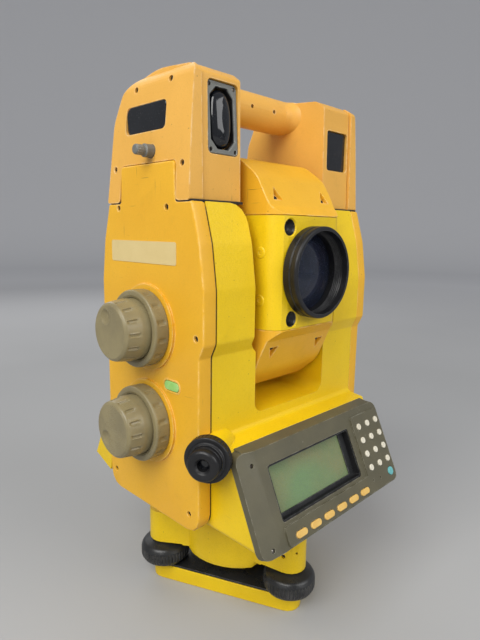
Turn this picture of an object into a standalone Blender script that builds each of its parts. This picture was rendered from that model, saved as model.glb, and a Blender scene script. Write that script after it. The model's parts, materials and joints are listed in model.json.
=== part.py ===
"""Surveying total station on its levelling tribrach.

Sizes are in millimetres here and become metres where a mesh is made. The vertical axis of the
instrument is x = y = 0 and the underside of the base plate is z = 0. The objective looks
towards -Y, the adjusting knobs are on the -X side and the battery is on the +X side.
"""
import bpy
import bmesh
from math import acos, atan2, cos, pi, radians, sin, tan
from mathutils import Matrix, Vector

MM = 0.001
GAP = 0.3

# Whole instrument
HALF_WIDTH = 92.7
SEAM_X = 81.0
CENTRING_X = 13.05
CENTRING_Y = 5.0
AXIS_Z = 265.0

# Tribrach
TRIBRACH_TURN = -6.0
SCREW_CIRCLE = 63.8
SCREW_NAMES = {"foot_screw_front": -90.0, "foot_screw_left": 150.0, "foot_screw_right": 30.0}
BASE_TOP = 12.5
BASE_REACH = 73.0
BASE_CORNER = 11.0
SPRING_PLATE = (BASE_TOP + GAP, 14.5)
THREAD_RADIUS = 7.9
KNOB_RADIUS = 20.5
KNOB_Z = (16.2, 33.5)
LOBE_RADIUS = 12.8
LOBE_BOTTOM = 35.0
SKIRT_RADIUS = 49.0
SKIRT_BOTTOM = 28.5
WELL_FLARE = 9.0
EAR_HUB = 33.0
TRIBRACH_TOP = 62.0
SIGHT_BORE = 12.0

# Alidade
BODY_BOTTOM = 91.5
SHOULDER_Z = 311.0
LOWER_DEPTH = 53.5
BULGE_DEPTH = 58.0
FLOOR_Z = 165.0
INNER_UPPER = 46.5
INNER_LOWER = 40.0
DECK_Z = 156.0
SPINDLE_RADIUS = 11.0

# Display units: the plane leans back, u runs right, v runs up the slope. The rear one is drawn
# from behind, so its distances are also towards the viewer.
PANEL_Y = -83.9
PANEL_Z = 139.2
REAR_PANEL_Y = -73.9
REAR_PANEL_Z = 145.2
PANEL_LEAN = 65.5
PANEL_HALF_WIDTH = 82.0
PANEL_DEPTH = 8.0
PANEL_TOP = 20.0
FRONT_DECK = ((-LOWER_DEPTH, DECK_Z), (-77.8, 152.5))
REAR_DECK = ((-LOWER_DEPTH, DECK_Z), (-67.7, 158.8))
PANEL_BOTTOM = -51.5
CORNER_RADIUS = 6.5
RAISED = 1.2
KEY_TOP = 2.2
KEY_ROOT = -6.0
NUMBER_KEY_RADIUS = 2.5
NUMBER_U = (49.2, 61.8, 74.4)
NUMBER_PITCH = 10.95
ENTER_KEY = (72.8, -43.0, 3.3)
FUNCTION_U = -46.6
FUNCTION_PITCH = 15.66
FUNCTION_V = -46.1
FUNCTION_KEY = (11.0, 4.5)
KEY_CLEARANCE = 0.35

# Adjusting knobs on the left side
KNOB_HEIGHTS = {"vertical": 226.9, "horizontal": 159.5}
SHUTTLE_RADIUS = 26.5
JOG_RADIUS = 21.0
BOSS_RADIUS = 30.0
BOSS_X = 94.5
SHUTTLE_X = 105.5
JOG_X = 123.1
JOG_SHAFT = 5.0
POWER_Y = -26.3
POWER_Z = 190.0
POWER_SIZE = (17.0, 8.0)

# Optical plummet, on a level axis through the front left corner
PLUMMET = (-96.0, -65.0, 150.8)
PLUMMET_HEADING = 210.0
PLUMMET_RADIUS = 15.3

# Towers, carry handle and beacon
TUBE = (2.0, 385.2, 13.35)
BEACON = (-61.75, -39.6, 363.0)
BEACON_LEAN = 86.5
BEACON_SIZE = (26.0, 44.0)
BEACON_SIGHT = (20.5, 38.0)
LOCK_KNOB = (-4.0, 343.4, 4.25)
TOWER_TAPER = [(76.0, 300.0, 0), (HALF_WIDTH, 300.0, 0), (HALF_WIDTH, 312.0, 0), (89.5, 360.0, 40.0),
               (86.8, 389.0, 9.0), (76.0, 397.5, 0)]

# Battery on the right side
BATTERY_HALF = 34.0
BATTERY_Z = (120.0, 232.0)
BATTERY_X = 97.0
LATCH_Z = 243.0

# Telescope, measured from its tilting axis
SCOPE_HALF = 38.0
SCOPE_FRONT = -69.0
SCOPE_BACK = 56.0
SCOPE_SEAM = 39.0
SCOPE_TOP = 82.5
SCOPE_LOW = 94.5
TRUNNION_RADIUS = 9.0
OBJECTIVE_FRONT = -80.2
OBJECTIVE_RADIUS = 32.2
SCOPE_PORTS = {"upper": (-24.8, 31.0), "lower": (-20.5, -32.0)}
PORT_RADIUS = 5.4
BARREL_RADIUS = 30.0

COLOURS = {
    "casting": (0.80, 0.58, 0.05, 0.45, 0.0),
    "cover": (0.86, 0.43, 0.06, 0.45, 0.0),
    "tower": (0.82, 0.42, 0.11, 0.45, 0.0),
    "taupe": (0.20, 0.17, 0.10, 0.50, 0.0),
    "bezel": (0.18, 0.17, 0.12, 0.50, 0.0),
    "black": (0.02, 0.02, 0.022, 0.40, 0.0),
    "charcoal": (0.05, 0.05, 0.055, 0.45, 0.0),
    "metal": (0.55, 0.55, 0.56, 0.35, 1.0),
    "grey": (0.34, 0.36, 0.35, 0.45, 0.0),
    "glass": (0.02, 0.03, 0.05, 0.05, 0.0),
    "screen": (0.16, 0.26, 0.13, 0.25, 0.0),
    "key": (0.80, 0.78, 0.68, 0.50, 0.0),
    "amber": (0.87, 0.60, 0.18, 0.50, 0.0),
    "teal": (0.15, 0.50, 0.50, 0.45, 0.0),
    "green": (0.45, 0.80, 0.25, 0.45, 0.0),
}


def clear_scene():
    for obj in list(bpy.data.objects):
        bpy.data.objects.remove(obj, do_unlink=True)


def make_collection(name):
    collection = bpy.data.collections.new(name)
    bpy.context.scene.collection.children.link(collection)
    return collection


clear_scene()
PARTS = make_collection("total_station")
CUTTERS = make_collection("cutters")


def empty(name, parent=None, at=(0, 0, 0), rotation=(0, 0, 0)):
    """Frame that a group of pieces is placed in."""
    frame = bpy.data.objects.new(name, None)
    PARTS.objects.link(frame)
    frame.parent = parent
    frame.location = Vector(at) * MM
    frame.rotation_euler = [radians(angle) for angle in rotation]
    return frame


def material(name, colour):
    red, green, blue, roughness, metallic = COLOURS[colour]
    made = bpy.data.materials.new(name)
    made.use_nodes = True
    shader = made.node_tree.nodes["Principled BSDF"]
    shader.inputs["Base Color"].default_value = (red, green, blue, 1.0)
    shader.inputs["Roughness"].default_value = roughness
    shader.inputs["Metallic"].default_value = metallic
    made.diffuse_color = (red, green, blue, 1.0)
    return made


def add_object(name, mesh, parent, at, colour):
    """Sub-part with its own material, or a cutter when it has no colour."""
    obj = bpy.data.objects.new(name, mesh)
    obj.parent = parent
    obj.location = Vector(at) * MM
    if colour is None:
        CUTTERS.objects.link(obj)
        obj.hide_render = True
        obj.display_type = 'WIRE'
    else:
        PARTS.objects.link(obj)
        mesh.materials.append(material(name, colour))
    return obj


def rounded(corners, steps=4):
    """Outline whose corners, given as x, y and radius, become arcs."""
    points = []
    for index, (x, y, radius) in enumerate(corners):
        corner = Vector((x, y))
        if radius == 0:
            points.append(corner)
            continue
        before = (Vector(corners[index - 1][:2]) - corner).normalized()
        after = (Vector(corners[(index + 1) % len(corners)][:2]) - corner).normalized()
        half = before.angle(after) / 2
        centre = corner + (before + after).normalized() * radius / sin(half)
        start = corner + before * radius / tan(half) - centre
        end = corner + after * radius / tan(half) - centre
        first = atan2(start.y, start.x)
        sweep = (atan2(end.y, end.x) - first + pi) % (2 * pi) - pi
        for step in range(steps + 1):
            angle = first + sweep * step / steps
            points.append(centre + radius * Vector((cos(angle), sin(angle))))
    return points


def mirrored(corners):
    """Corners of the -X half, bottom to top, followed by those of the +X half."""
    return corners + [(-x, y, radius) for x, y, radius in reversed(corners)]


def box_outline(width, height, radius, centre=(0, 0), steps=3):
    x, y = width / 2, height / 2
    corners = [(-x, -y, radius), (x, -y, radius), (x, y, radius), (-x, y, radius)]
    return [point + Vector(centre) for point in rounded(corners, steps)]


def circle(radius, centre=(0, 0), steps=20):
    angles = [2 * pi * step / steps for step in range(steps)]
    return [Vector(centre) + radius * Vector((cos(angle), sin(angle))) for angle in angles]


def gear_outline(radius, depth, teeth):
    """Circle with evenly spaced grip notches."""
    points = []
    for tooth in range(teeth):
        for part, offset in ((0.0, 0.0), (0.62, 0.0), (0.70, depth), (0.92, depth)):
            angle = 2 * pi * (tooth + part) / teeth
            points.append((radius - offset) * Vector((cos(angle), sin(angle))))
    return points


FACINGS = {
    "Z": Matrix.Identity(3),
    "X": Matrix(((0, 0, 1), (1, 0, 0), (0, 1, 0))),
    "Y": Matrix(((1, 0, 0), (0, 0, -1), (0, 1, 0))),
}


def slab(name, outlines, span, parent, colour=None, facing="Z", at=(0, 0, 0)):
    """Flat outline, with any holes in it, filled and extruded over the span.

    Facing X draws the outline in y, z and extrudes along x. Facing Y draws it in x, z and
    extrudes towards -Y, so its span counts distances in front of the XZ plane.
    """
    curve = bpy.data.curves.new(name, 'CURVE')
    curve.dimensions = '2D'
    curve.fill_mode = 'BOTH'
    curve.extrude = (span[1] - span[0]) / 2 * MM
    for outline in outlines:
        spline = curve.splines.new('POLY')
        spline.points.add(len(outline) - 1)
        for point, (x, y) in zip(spline.points, outline):
            point.co = (x * MM, y * MM, 0, 1)
        spline.use_cyclic_u = True
    drawn = bpy.data.objects.new(name + "_outline", curve)
    PARTS.objects.link(drawn)
    bpy.context.view_layer.update()
    evaluated = drawn.evaluated_get(bpy.context.evaluated_depsgraph_get())
    mesh = bpy.data.meshes.new_from_object(evaluated)
    bpy.data.objects.remove(drawn)
    solid = bmesh.new()
    solid.from_mesh(mesh)
    bmesh.ops.remove_doubles(solid, verts=solid.verts, dist=1e-6)
    bmesh.ops.dissolve_limit(solid, angle_limit=0.001, verts=solid.verts, edges=solid.edges)
    bmesh.ops.translate(solid, verts=solid.verts, vec=(0, 0, (span[0] + span[1]) / 2 * MM))
    bmesh.ops.transform(solid, matrix=FACINGS[facing].to_4x4(), verts=solid.verts)
    bmesh.ops.recalc_face_normals(solid, faces=solid.faces)
    solid.to_mesh(mesh)
    solid.free()
    mesh.materials.clear()
    mesh.name = name
    return add_object(name, mesh, parent, at, colour)


def aim(obj, axis):
    """Turn the object so that its own Z lies along the axis."""
    obj.rotation_mode = 'QUATERNION'
    obj.rotation_quaternion = Vector((0, 0, 1)).rotation_difference(Vector(axis))


def turned(name, profile, parent, colour=None, at=(0, 0, 0), axis=(0, 0, 1), steps=32, ring=False):
    """Profile of radius and height, from the top down its outer side, turned about the axis."""
    mesh = bpy.data.meshes.new(name)
    edges = [(index, index + 1) for index in range(len(profile) - 1)]
    if ring:
        edges.append((len(profile) - 1, 0))
    mesh.from_pydata([(radius * MM, 0, height * MM) for radius, height in profile], edges, [])
    obj = add_object(name, mesh, parent, at, colour)
    aim(obj, axis)
    screw = obj.modifiers.new("turn", 'SCREW')
    screw.steps = steps
    screw.render_steps = steps
    screw.use_merge_vertices = True
    screw.merge_threshold = 0.00001
    return obj


def rod(name, radius, span, parent, colour=None, at=(0, 0, 0), axis=(0, 0, 1), steps=20):
    """Plain round bar along the axis."""
    mesh = bpy.data.meshes.new(name)
    solid = bmesh.new()
    bmesh.ops.create_cone(solid, cap_ends=True, segments=steps, radius1=radius * MM,
                          radius2=radius * MM, depth=(span[1] - span[0]) * MM)
    bmesh.ops.translate(solid, verts=solid.verts, vec=(0, 0, (span[0] + span[1]) / 2 * MM))
    solid.to_mesh(mesh)
    solid.free()
    obj = add_object(name, mesh, parent, at, colour)
    aim(obj, axis)
    return obj


def block(name, low, high, parent, colour=None):
    """Box between two corners."""
    mesh = bpy.data.meshes.new(name)
    solid = bmesh.new()
    bmesh.ops.create_cube(solid, size=1.0)
    size = Vector(high) - Vector(low)
    bmesh.ops.scale(solid, verts=solid.verts, vec=size * MM)
    bmesh.ops.translate(solid, verts=solid.verts, vec=(Vector(low) + size / 2) * MM)
    solid.to_mesh(mesh)
    solid.free()
    return add_object(name, mesh, parent, (0, 0, 0), colour)


def combine(target, other, operation='DIFFERENCE'):
    boolean = target.modifiers.new(operation.lower() + "_" + other.name, 'BOOLEAN')
    boolean.operation = operation
    boolean.solver = 'EXACT'
    boolean.object = other


def soften(obj, width, segments=2, angle=50.0):
    bevel = obj.modifiers.new("edges", 'BEVEL')
    bevel.width = width * MM
    bevel.segments = segments
    bevel.limit_method = 'ANGLE'
    bevel.angle_limit = radians(angle)


def polar(radius, angle):
    return Vector((radius * cos(radians(angle)), radius * sin(radians(angle))))


# ---------------------------------------------------------------- tribrach
def rounded_triangle(corner_radius, reach):
    """Triangle with its corners towards the foot screws."""
    centre = reach - corner_radius
    corners = []
    for angle in SCREW_NAMES.values():
        corner = polar(centre + 2 * corner_radius, angle)
        corners.append((corner.x, corner.y, corner_radius))
    return rounded(corners[::-1], 6)


def screw_centres():
    return [polar(SCREW_CIRCLE, angle) for angle in SCREW_NAMES.values()]


def base_plate(parent):
    outline = rounded_triangle(BASE_CORNER, BASE_REACH)
    plate = slab("base_plate", [outline, circle(THREAD_RADIUS)], (0, BASE_TOP), parent, "casting")
    soften(plate, 1.0, 1)
    for number, centre in enumerate(screw_centres()):
        socket = rod("screw_socket_%d" % number, 5.0, (5.0, BASE_TOP + 1), parent,
                     at=(centre.x, centre.y, 0), steps=16)
        combine(plate, socket)


def spring_plate(parent):
    holes = [circle(4.8, centre, 16) for centre in screw_centres()]
    slab("spring_plate", [rounded_triangle(BASE_CORNER, BASE_REACH - 0.8), circle(17.0)] + holes, SPRING_PLATE,
         parent, "charcoal")


def foot_screws(parent):
    """Threaded studs with ribbed knobs, standing in the base plate and up in the lobes."""
    profile = [(0, 56.0), (5.0, 56.0), (5.0, KNOB_Z[1]), (12.0, KNOB_Z[1]), (18.5, 31.0),
               (KNOB_RADIUS, 27.0), (KNOB_RADIUS, 20.0), (19.0, KNOB_Z[0]), (4.5, KNOB_Z[0]),
               (4.5, 6.0), (0, 6.0)]
    for name, angle in SCREW_NAMES.items():
        centre = polar(SCREW_CIRCLE, angle)
        turned(name, profile, parent, "charcoal", (centre.x, centre.y, 0), steps=28)


def tribrach_body(parent):
    """Round skirt with a lobe over each foot screw."""
    body = turned("tribrach_body",
                  [(0, TRIBRACH_TOP), (SKIRT_RADIUS - 2.0, TRIBRACH_TOP), (SKIRT_RADIUS, TRIBRACH_TOP - 4.0),
                   (SKIRT_RADIUS, SKIRT_BOTTOM + 6.0), (SKIRT_RADIUS - 2.0, SKIRT_BOTTOM), (0, SKIRT_BOTTOM)],
                  parent, "casting", steps=40)
    for number, centre in enumerate(screw_centres()):
        arm = slab("lobe_%d" % number, [lobe_outline(centre)], (LOBE_BOTTOM - 1.0, TRIBRACH_TOP - 0.6),
                   parent)
        combine(body, arm, 'UNION')
    combine(body, rod("clamp_seat", 34.0, (56.0, 70.0), parent, steps=36))
    combine(body, rod("sight_bore", SIGHT_BORE, (20.0, 60.0), parent, steps=24))
    for number, centre in enumerate(screw_centres()):
        spot = (centre.x, centre.y, 0)
        well = turned("knob_well_%d" % number,
                      [(0, LOBE_BOTTOM), (KNOB_RADIUS + 1.5, LOBE_BOTTOM),
                       (KNOB_RADIUS + 1.5 + WELL_FLARE, SKIRT_BOTTOM - 1.0),
                       (KNOB_RADIUS + 1.5 + WELL_FLARE, 0), (0, 0)], parent, at=spot, steps=32)
        bore = rod("stud_bore_%d" % number, 5.3, (LOBE_BOTTOM - 1, 58.0), parent, at=spot, steps=20)
        combine(body, well)
        combine(body, bore)
    combine(body, rod("lock_bore", 4.3, (36.0, 60.0), parent, at=(0, 0, 49.0), axis=(0, 1, 0),
                      steps=16))
    seat = polar(SKIRT_RADIUS + 6.0, -30.0)
    shelf = rod("level_shelf", 12.5, (38.0, 50.0), parent, at=(seat.x, seat.y, 0), steps=24)
    combine(body, shelf, 'UNION')
    vial_seat = rod("vial_seat", 9.8, (43.0, 64.0), parent, at=(seat.x, seat.y, 0), steps=24)
    combine(body, vial_seat)


def lobe_outline(centre):
    """Ear from inside the skirt to the round end over the screw."""
    turn = Matrix.Rotation(atan2(centre.y, centre.x), 2)
    reach = centre.length
    tangent = acos((EAR_HUB - LOBE_RADIUS) / reach)
    points = [EAR_HUB * Vector((cos(tangent), -sin(tangent)))]
    for step in range(9):
        angle = tangent * (step / 4 - 1)
        points.append(Vector((reach, 0)) + LOBE_RADIUS * Vector((cos(angle), sin(angle))))
    points.append(EAR_HUB * Vector((cos(tangent), sin(tangent))))
    return [turn @ point for point in points]


def tribrach_lock_knob(parent):
    """Clamp that holds the instrument in the tribrach; it turns about a radial pin."""
    knob = turned("tribrach_lock_knob", [(0, 68.0), (8.0, 68.0), (9.0, 66.5), (9.0, 52.0), (4.0, 52.0),
                                         (4.0, 38.0), (0, 38.0)],
                  parent, "charcoal", (0, 0, 49.0), (0, 1, 0), 20)
    for side in (-1, 1):
        grip = block("lock_grip_%d" % side, (side * 13.0 - 9.0, 60.0, 40.0),
                     (side * 13.0 + 9.0, 69.0, 58.0), parent)
        combine(knob, grip)


def circular_level(parent):
    seat = polar(SKIRT_RADIUS + 6.0, -30.0)
    turned("circular_level", [(0, 51.5), (7.0, 51.5), (9.5, 50.5), (9.5, 43.3), (0, 43.3)], parent,
           "metal", (seat.x, seat.y, 0), steps=24)


def instrument_base(parent):
    """Turntable housing that the tribrach clamps; the alidade turns on it."""
    turned("instrument_base",
           [(SPINDLE_RADIUS + GAP, 91.0), (50.0, 91.0), (52.0, 88.0), (52.0, 76.0), (47.0, 70.0),
            (47.0, TRIBRACH_TOP + GAP), (33.5, TRIBRACH_TOP + GAP), (33.5, 56.0 + GAP),
            (SPINDLE_RADIUS + GAP, 56.0 + GAP)],
           parent, "casting", steps=40, ring=True)


# ---------------------------------------------------------------- alidade
def body_side():
    """Front half of the body seen from the side: y, z and corner radius, bottom to top."""
    return [(-LOWER_DEPTH, 213.0, 4.0), (-BULGE_DEPTH, 222.0, 6.0), (-BULGE_DEPTH, 256.0, 30.0),
            (-54.0, 285.0, 30.0)]


def alidade_casting(parent):
    """U-shaped frame: both standards, the deck and the wedges behind the display units."""
    front = mirrored([(-SEAM_X, BODY_BOTTOM, 5.0), (-SEAM_X, SHOULDER_Z, 0),
                      (-INNER_UPPER, SHOULDER_Z, 13.0), (-INNER_UPPER, 217.0, 0),
                      (-INNER_LOWER, 210.0, 0), (-INNER_LOWER, FLOOR_Z, 8.0)])
    casting = slab("alidade_casting", [rounded(front)], (-110, 110), parent, "casting", "Y")
    standard = [(-LOWER_DEPTH, DECK_Z, 4.0)] + body_side() + [(-46.5, SHOULDER_Z, 0)]
    front_side = [(-96.5, BODY_BOTTOM, 2.0), (-68.1, 153.9, 1.0)] + standard
    rear_side = [(-72.0, BODY_BOTTOM, 1.0), (-86.3, 98.0, 1.0), (-59.3, 157.2, 1.0)] + standard
    rear_side = [(-y, z, radius) for y, z, radius in reversed(rear_side)]
    profile = slab("body_profile", [rounded(front_side + rear_side)], (-100, 100), parent, facing="X")
    combine(casting, profile, 'INTERSECT')
    combine(casting, rod("spindle_bore", SPINDLE_RADIUS + GAP, (80, 120), parent, steps=24))
    for side_name, sign in (("left", -1), ("right", 1)):
        bore = rod("trunnion_bore_" + side_name, TRUNNION_RADIUS + GAP, (INNER_UPPER - 5, 73.0),
                   parent, at=(0, 0, AXIS_Z), axis=(sign, 0, 0), steps=24)
        combine(casting, bore)
    for name, height in KNOB_HEIGHTS.items():
        shaft = rod(name + "_shaft_bore", JOG_SHAFT + GAP, (72.0, 95.0), parent,
                    at=(0, 0, height), axis=(-1, 0, 0), steps=16)
        combine(casting, shaft)
    combine(casting, plummet_scallop("casting", parent))
    combine(casting, rod("plummet_tube", 11.4, (-30.0, -1.0), parent, at=PLUMMET,
                         axis=plummet_axis(), steps=28), 'UNION')
    combine(casting, rod("plummet_sight", 7.0, (-26.0, 1.0), parent, at=PLUMMET,
                         axis=plummet_axis(), steps=24))
    return casting


def plummet_axis():
    heading = polar(1.0, PLUMMET_HEADING)
    return (heading.x, heading.y, 0)


def plummet_scallop(name, parent):
    """Room around the focusing ring."""
    return rod(name + "_plummet_scallop", PLUMMET_RADIUS + 0.8, (-8.5, 12.0), parent, at=PLUMMET,
               axis=plummet_axis(), steps=28)


def optical_plummet(parent):
    """Focusing ring and eyepiece on the tube at the corner of the alidade."""
    axis = plummet_axis()
    ring = slab("plummet_focus_ring", [gear_outline(PLUMMET_RADIUS, 0.7, 18), circle(11.8, steps=28)],
                (-6.5, 0.0), parent, "black", at=PLUMMET)
    aim(ring, axis)
    turned("plummet_eyepiece", [(4.0, 9.5), (9.0, 9.5), (10.5, 8.0), (10.5, 0.3), (6.7, 0.3),
                                (6.7, -12.0), (4.0, -12.0)], parent, "black", PLUMMET, axis, 28,
           ring=True)


def cover_outline():
    corners = [(-LOWER_DEPTH, BODY_BOTTOM, 12.0)] + body_side()
    corners += [(-46.5, SHOULDER_Z, 2.0), (-31.0, SHOULDER_Z, 2.0), (-30.0, 336.0, 3.0)]
    return rounded(mirrored(corners), 3)


def side_span(sign, low, high):
    """Span along x on the left (-1) or the right (1) side."""
    return (low, high) if sign > 0 else (-high, -low)


def side_covers(parent):
    left = slab("left_side_cover", [cover_outline()], side_span(-1, SEAM_X + GAP, HALF_WIDTH), parent,
                "cover", "X")
    soften(left, 3.0, 2)
    for name, height in KNOB_HEIGHTS.items():
        boss = rod(name + "_boss", BOSS_RADIUS, (88.0, BOSS_X), parent, at=(0, 0, height),
                   axis=(-1, 0, 0), steps=36)
        combine(left, boss, 'UNION')
        shaft = rod(name + "_cover_bore", JOG_SHAFT + GAP, (75.0, 99.0), parent,
                    at=(0, 0, height), axis=(-1, 0, 0), steps=16)
        combine(left, shaft)
    window = box_outline(POWER_SIZE[0] + 0.7, POWER_SIZE[1] + 0.7, 4.2, (POWER_Y, POWER_Z))
    combine(left, slab("power_slot", [window], (-96, -78), parent, facing="X"))
    combine(left, rod("plummet_cover_bore", 11.8, (-42.0, 1.0), parent, at=PLUMMET,
                      axis=plummet_axis(), steps=28))
    combine(left, plummet_scallop("cover", parent))

    right = slab("right_side_cover", [cover_outline()], side_span(1, SEAM_X + GAP, HALF_WIDTH), parent,
                 "cover", "X")
    soften(right, 3.0, 2)
    low, high = BATTERY_Z
    bay = box_outline(2 * BATTERY_HALF + 0.8, high - low + 0.8, 5.4, (0, (low + high) / 2))
    combine(right, slab("battery_bay", [bay], (78, 99), parent, facing="X"))
    latch = box_outline(22.8, 8.8, 3.4, (0, LATCH_Z))
    combine(right, slab("latch_slot", [latch], (78, 99), parent, facing="X"))


def battery(parent):
    low, high = BATTERY_Z
    outline = box_outline(2 * BATTERY_HALF, high - low, 5.0, (0, (low + high) / 2))
    pack = slab("battery", [outline], (SEAM_X + 2 * GAP, BATTERY_X), parent, "cover", "X")
    soften(pack, 2.0, 2)
    latch = slab("battery_latch", [box_outline(22.0, 8.0, 3.0, (0, LATCH_Z))],
                 (SEAM_X + 3.0, HALF_WIDTH + 1.5), parent, "taupe", "X")
    soften(latch, 0.6, 1)


def side_knobs(parent):
    for name, height in KNOB_HEIGHTS.items():
        spot = (-BOSS_X, 0, height)
        ring = slab(name + "_shuttle_ring",
                    [gear_outline(SHUTTLE_RADIUS, 0.9, 14), circle(JOG_RADIUS + 0.4, steps=32)],
                    (GAP, SHUTTLE_X - BOSS_X), parent, "taupe", at=spot)
        aim(ring, (-1, 0, 0))
        front = JOG_X - BOSS_X
        turned(name + "_jog_knob",
               [(0, front), (18.3, front), (19.7, front - 1.2), (20.4, front - 9.0),
                (JOG_RADIUS, front - 12.0), (JOG_RADIUS, GAP), (JOG_SHAFT, GAP),
                (JOG_SHAFT, -21.0), (0, -21.0)], parent, "taupe", spot, (-1, 0, 0), 32)


def power_button(parent):
    button = slab("power_button", [box_outline(POWER_SIZE[0], POWER_SIZE[1], 3.9, (0, 0))],
                  (-HALF_WIDTH - 1.0, -SEAM_X - 2.5), parent, "green", "X", (0, POWER_Y, POWER_Z))
    soften(button, 0.5, 1)


def vertical_spindle(parent):
    turned("vertical_spindle", [(6.0, 119.0), (SPINDLE_RADIUS, 119.0), (SPINDLE_RADIUS, 57.0), (6.0, 57.0)],
           parent, "metal", steps=24, ring=True)


# ---------------------------------------------------------------- towers and handle
def tower_outline(front, back, top):
    """Tower seen from the side, with an arched top."""
    return [(front, SHOULDER_Z + GAP, 1.5), (back, SHOULDER_Z + GAP, 1.5),
            (back - 5.5, top - 30.0, 20.0), (back - 14.0, top - 12.0, 12.0),
            (back - 27.0, top - 3.5, 12.0), (0.0, top + 0.4, 60.0), (front + 9.0, top - 2.5, 10.0),
            (front + 1.5, top - 8.0, 3.0)]


def carry_handle(parent, beacon_mount):
    """Inner halves of both towers and the grip tube between them."""
    outline = rounded(tower_outline(-42.5, 46.0, 396.5), 3)
    handle = slab("carry_handle", [outline], (-SEAM_X, -INNER_UPPER), parent, "tower", "X")
    other = slab("right_tower", [outline], (INNER_UPPER, SEAM_X), parent, facing="X")
    combine(handle, other, 'UNION')
    y, z, radius = TUBE
    tube = rod("grip_tube", radius, (-INNER_UPPER - 1.5, INNER_UPPER + 1.5), parent, at=(0, y, z),
               axis=(1, 0, 0), steps=32)
    combine(handle, tube, 'UNION')
    pocket = slab("beacon_pocket",
                  [box_outline(BEACON_SIZE[0] + 0.6, BEACON_SIZE[1] + 0.6, 3.3)], (-4.3, 9.0), beacon_mount)
    combine(handle, pocket)
    window = slab("tower_window_pocket", [box_outline(27.6, 30.6, 2.3, (65.0, 357.2))], (37.0, 60.0),
                  parent, facing="Y")
    combine(handle, window)


def tower_covers(parent):
    for side_name, sign in (("left", -1), ("right", 1)):
        corners = tower_outline(-44.5, 47.0, 396.5)
        notch = [(-31.4, SHOULDER_Z + GAP, 3.0), (-30.4, 336.0 + GAP, 3.3), (30.4, 336.0 + GAP, 3.3),
                 (31.4, SHOULDER_Z + GAP, 3.0)]
        outline = rounded(corners[:1] + notch + corners[1:], 3)
        cover = slab(side_name + "_tower_cover", [outline], side_span(sign, SEAM_X + GAP, HALF_WIDTH), parent,
                     "tower", "X")
        taper = [(sign * x, z, radius) for x, z, radius in TOWER_TAPER]
        crown = slab(side_name + "_tower_crown", [rounded(taper, 4)], (-60, 60), parent, facing="Y")
        combine(cover, crown, 'INTERSECT')
        soften(cover, 2.4, 2, 40)
    y, z, radius = LOCK_KNOB
    left = bpy.data.objects["left_tower_cover"]
    combine(left, rod("lock_knob_bore", radius + GAP, (80, 99), parent, at=(0, y, z), axis=(-1, 0, 0),
                      steps=16))
    side_window = box_outline(44.6, 18.0, 3.4, (4.5, 365.4))
    combine(left, slab("side_window_pocket", [side_window], (-96.0, -87.4), parent, facing="X"))


def handle_lock_knob(parent):
    y, z, radius = LOCK_KNOB
    turned("handle_lock_knob", [(0, 11.0), (2.8, 11.0), (3.3, 10.5), (3.3, 4.0), (radius, 4.0),
                                (radius, -10.0), (0, -10.0)], parent, "grey", (-HALF_WIDTH, y, z),
           (-1, 0, 0), 16)


def beacon(parent):
    """Tracking light on the front of the left tower: a frame with a domed lens in it."""
    width, height = BEACON_SIGHT
    cut = 5.5
    half_w, half_h = width / 2, height / 2

    def octagon(margin):
        x, y, c = half_w - margin, half_h - margin, cut
        return [Vector(p) for p in ((-x, -y + c), (-x + c, -y), (x - c, -y), (x, -y + c),
                                    (x, y - c), (x - c, y), (-x + c, y), (-x, y - c))]

    frame = slab("beacon_frame", [box_outline(BEACON_SIZE[0], BEACON_SIZE[1], 3.0), octagon(0)],
                 (-4.0, 1.2), parent, "grey")
    soften(frame, 0.5, 1, 80)
    lens = slab("beacon_lens", [octagon(0.35)], (-4.0, 1.8), parent, "glass")
    soften(lens, 1.4, 2, 80)


# ---------------------------------------------------------------- display units
def key_spots():
    """Name, kind, u and v of each key."""
    spots = []
    for row in range(4):
        for column, u in enumerate(NUMBER_U):
            spots.append(("key_%d_%d" % (row + 1, column + 1), "number", u, -NUMBER_PITCH * row))
    spots.append(("key_enter", "enter", ENTER_KEY[0], ENTER_KEY[1]))
    for index in range(6):
        spots.append(("key_f%d" % (index + 1), "function", FUNCTION_U + FUNCTION_PITCH * index, FUNCTION_V))
    return spots


def key_outline(kind, centre, grow=0.0):
    if kind == "function":
        width, height = FUNCTION_KEY
        return box_outline(width + 2 * grow, height + 2 * grow, height / 2 + grow - 0.05, centre)
    radius = ENTER_KEY[2] if kind == "enter" else NUMBER_KEY_RADIUS
    return circle(radius + grow, centre, 12)


def bezel_corner(side, top):
    """What is cut off an upper corner, in x and z, to leave it round."""
    inner = PANEL_HALF_WIDTH - CORNER_RADIUS
    points = []
    for step in range(5):
        angle = pi / 2 * step / 4
        points.append(Vector((side * (inner + CORNER_RADIUS * sin(angle)),
                              top - CORNER_RADIUS + CORNER_RADIUS * cos(angle))))
    outer = side * (PANEL_HALF_WIDTH + 3.0)
    points += [Vector((outer, top - CORNER_RADIUS)), Vector((outer, top + 12.0)),
               Vector((side * inner, top + 12.0))]
    return points


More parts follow.
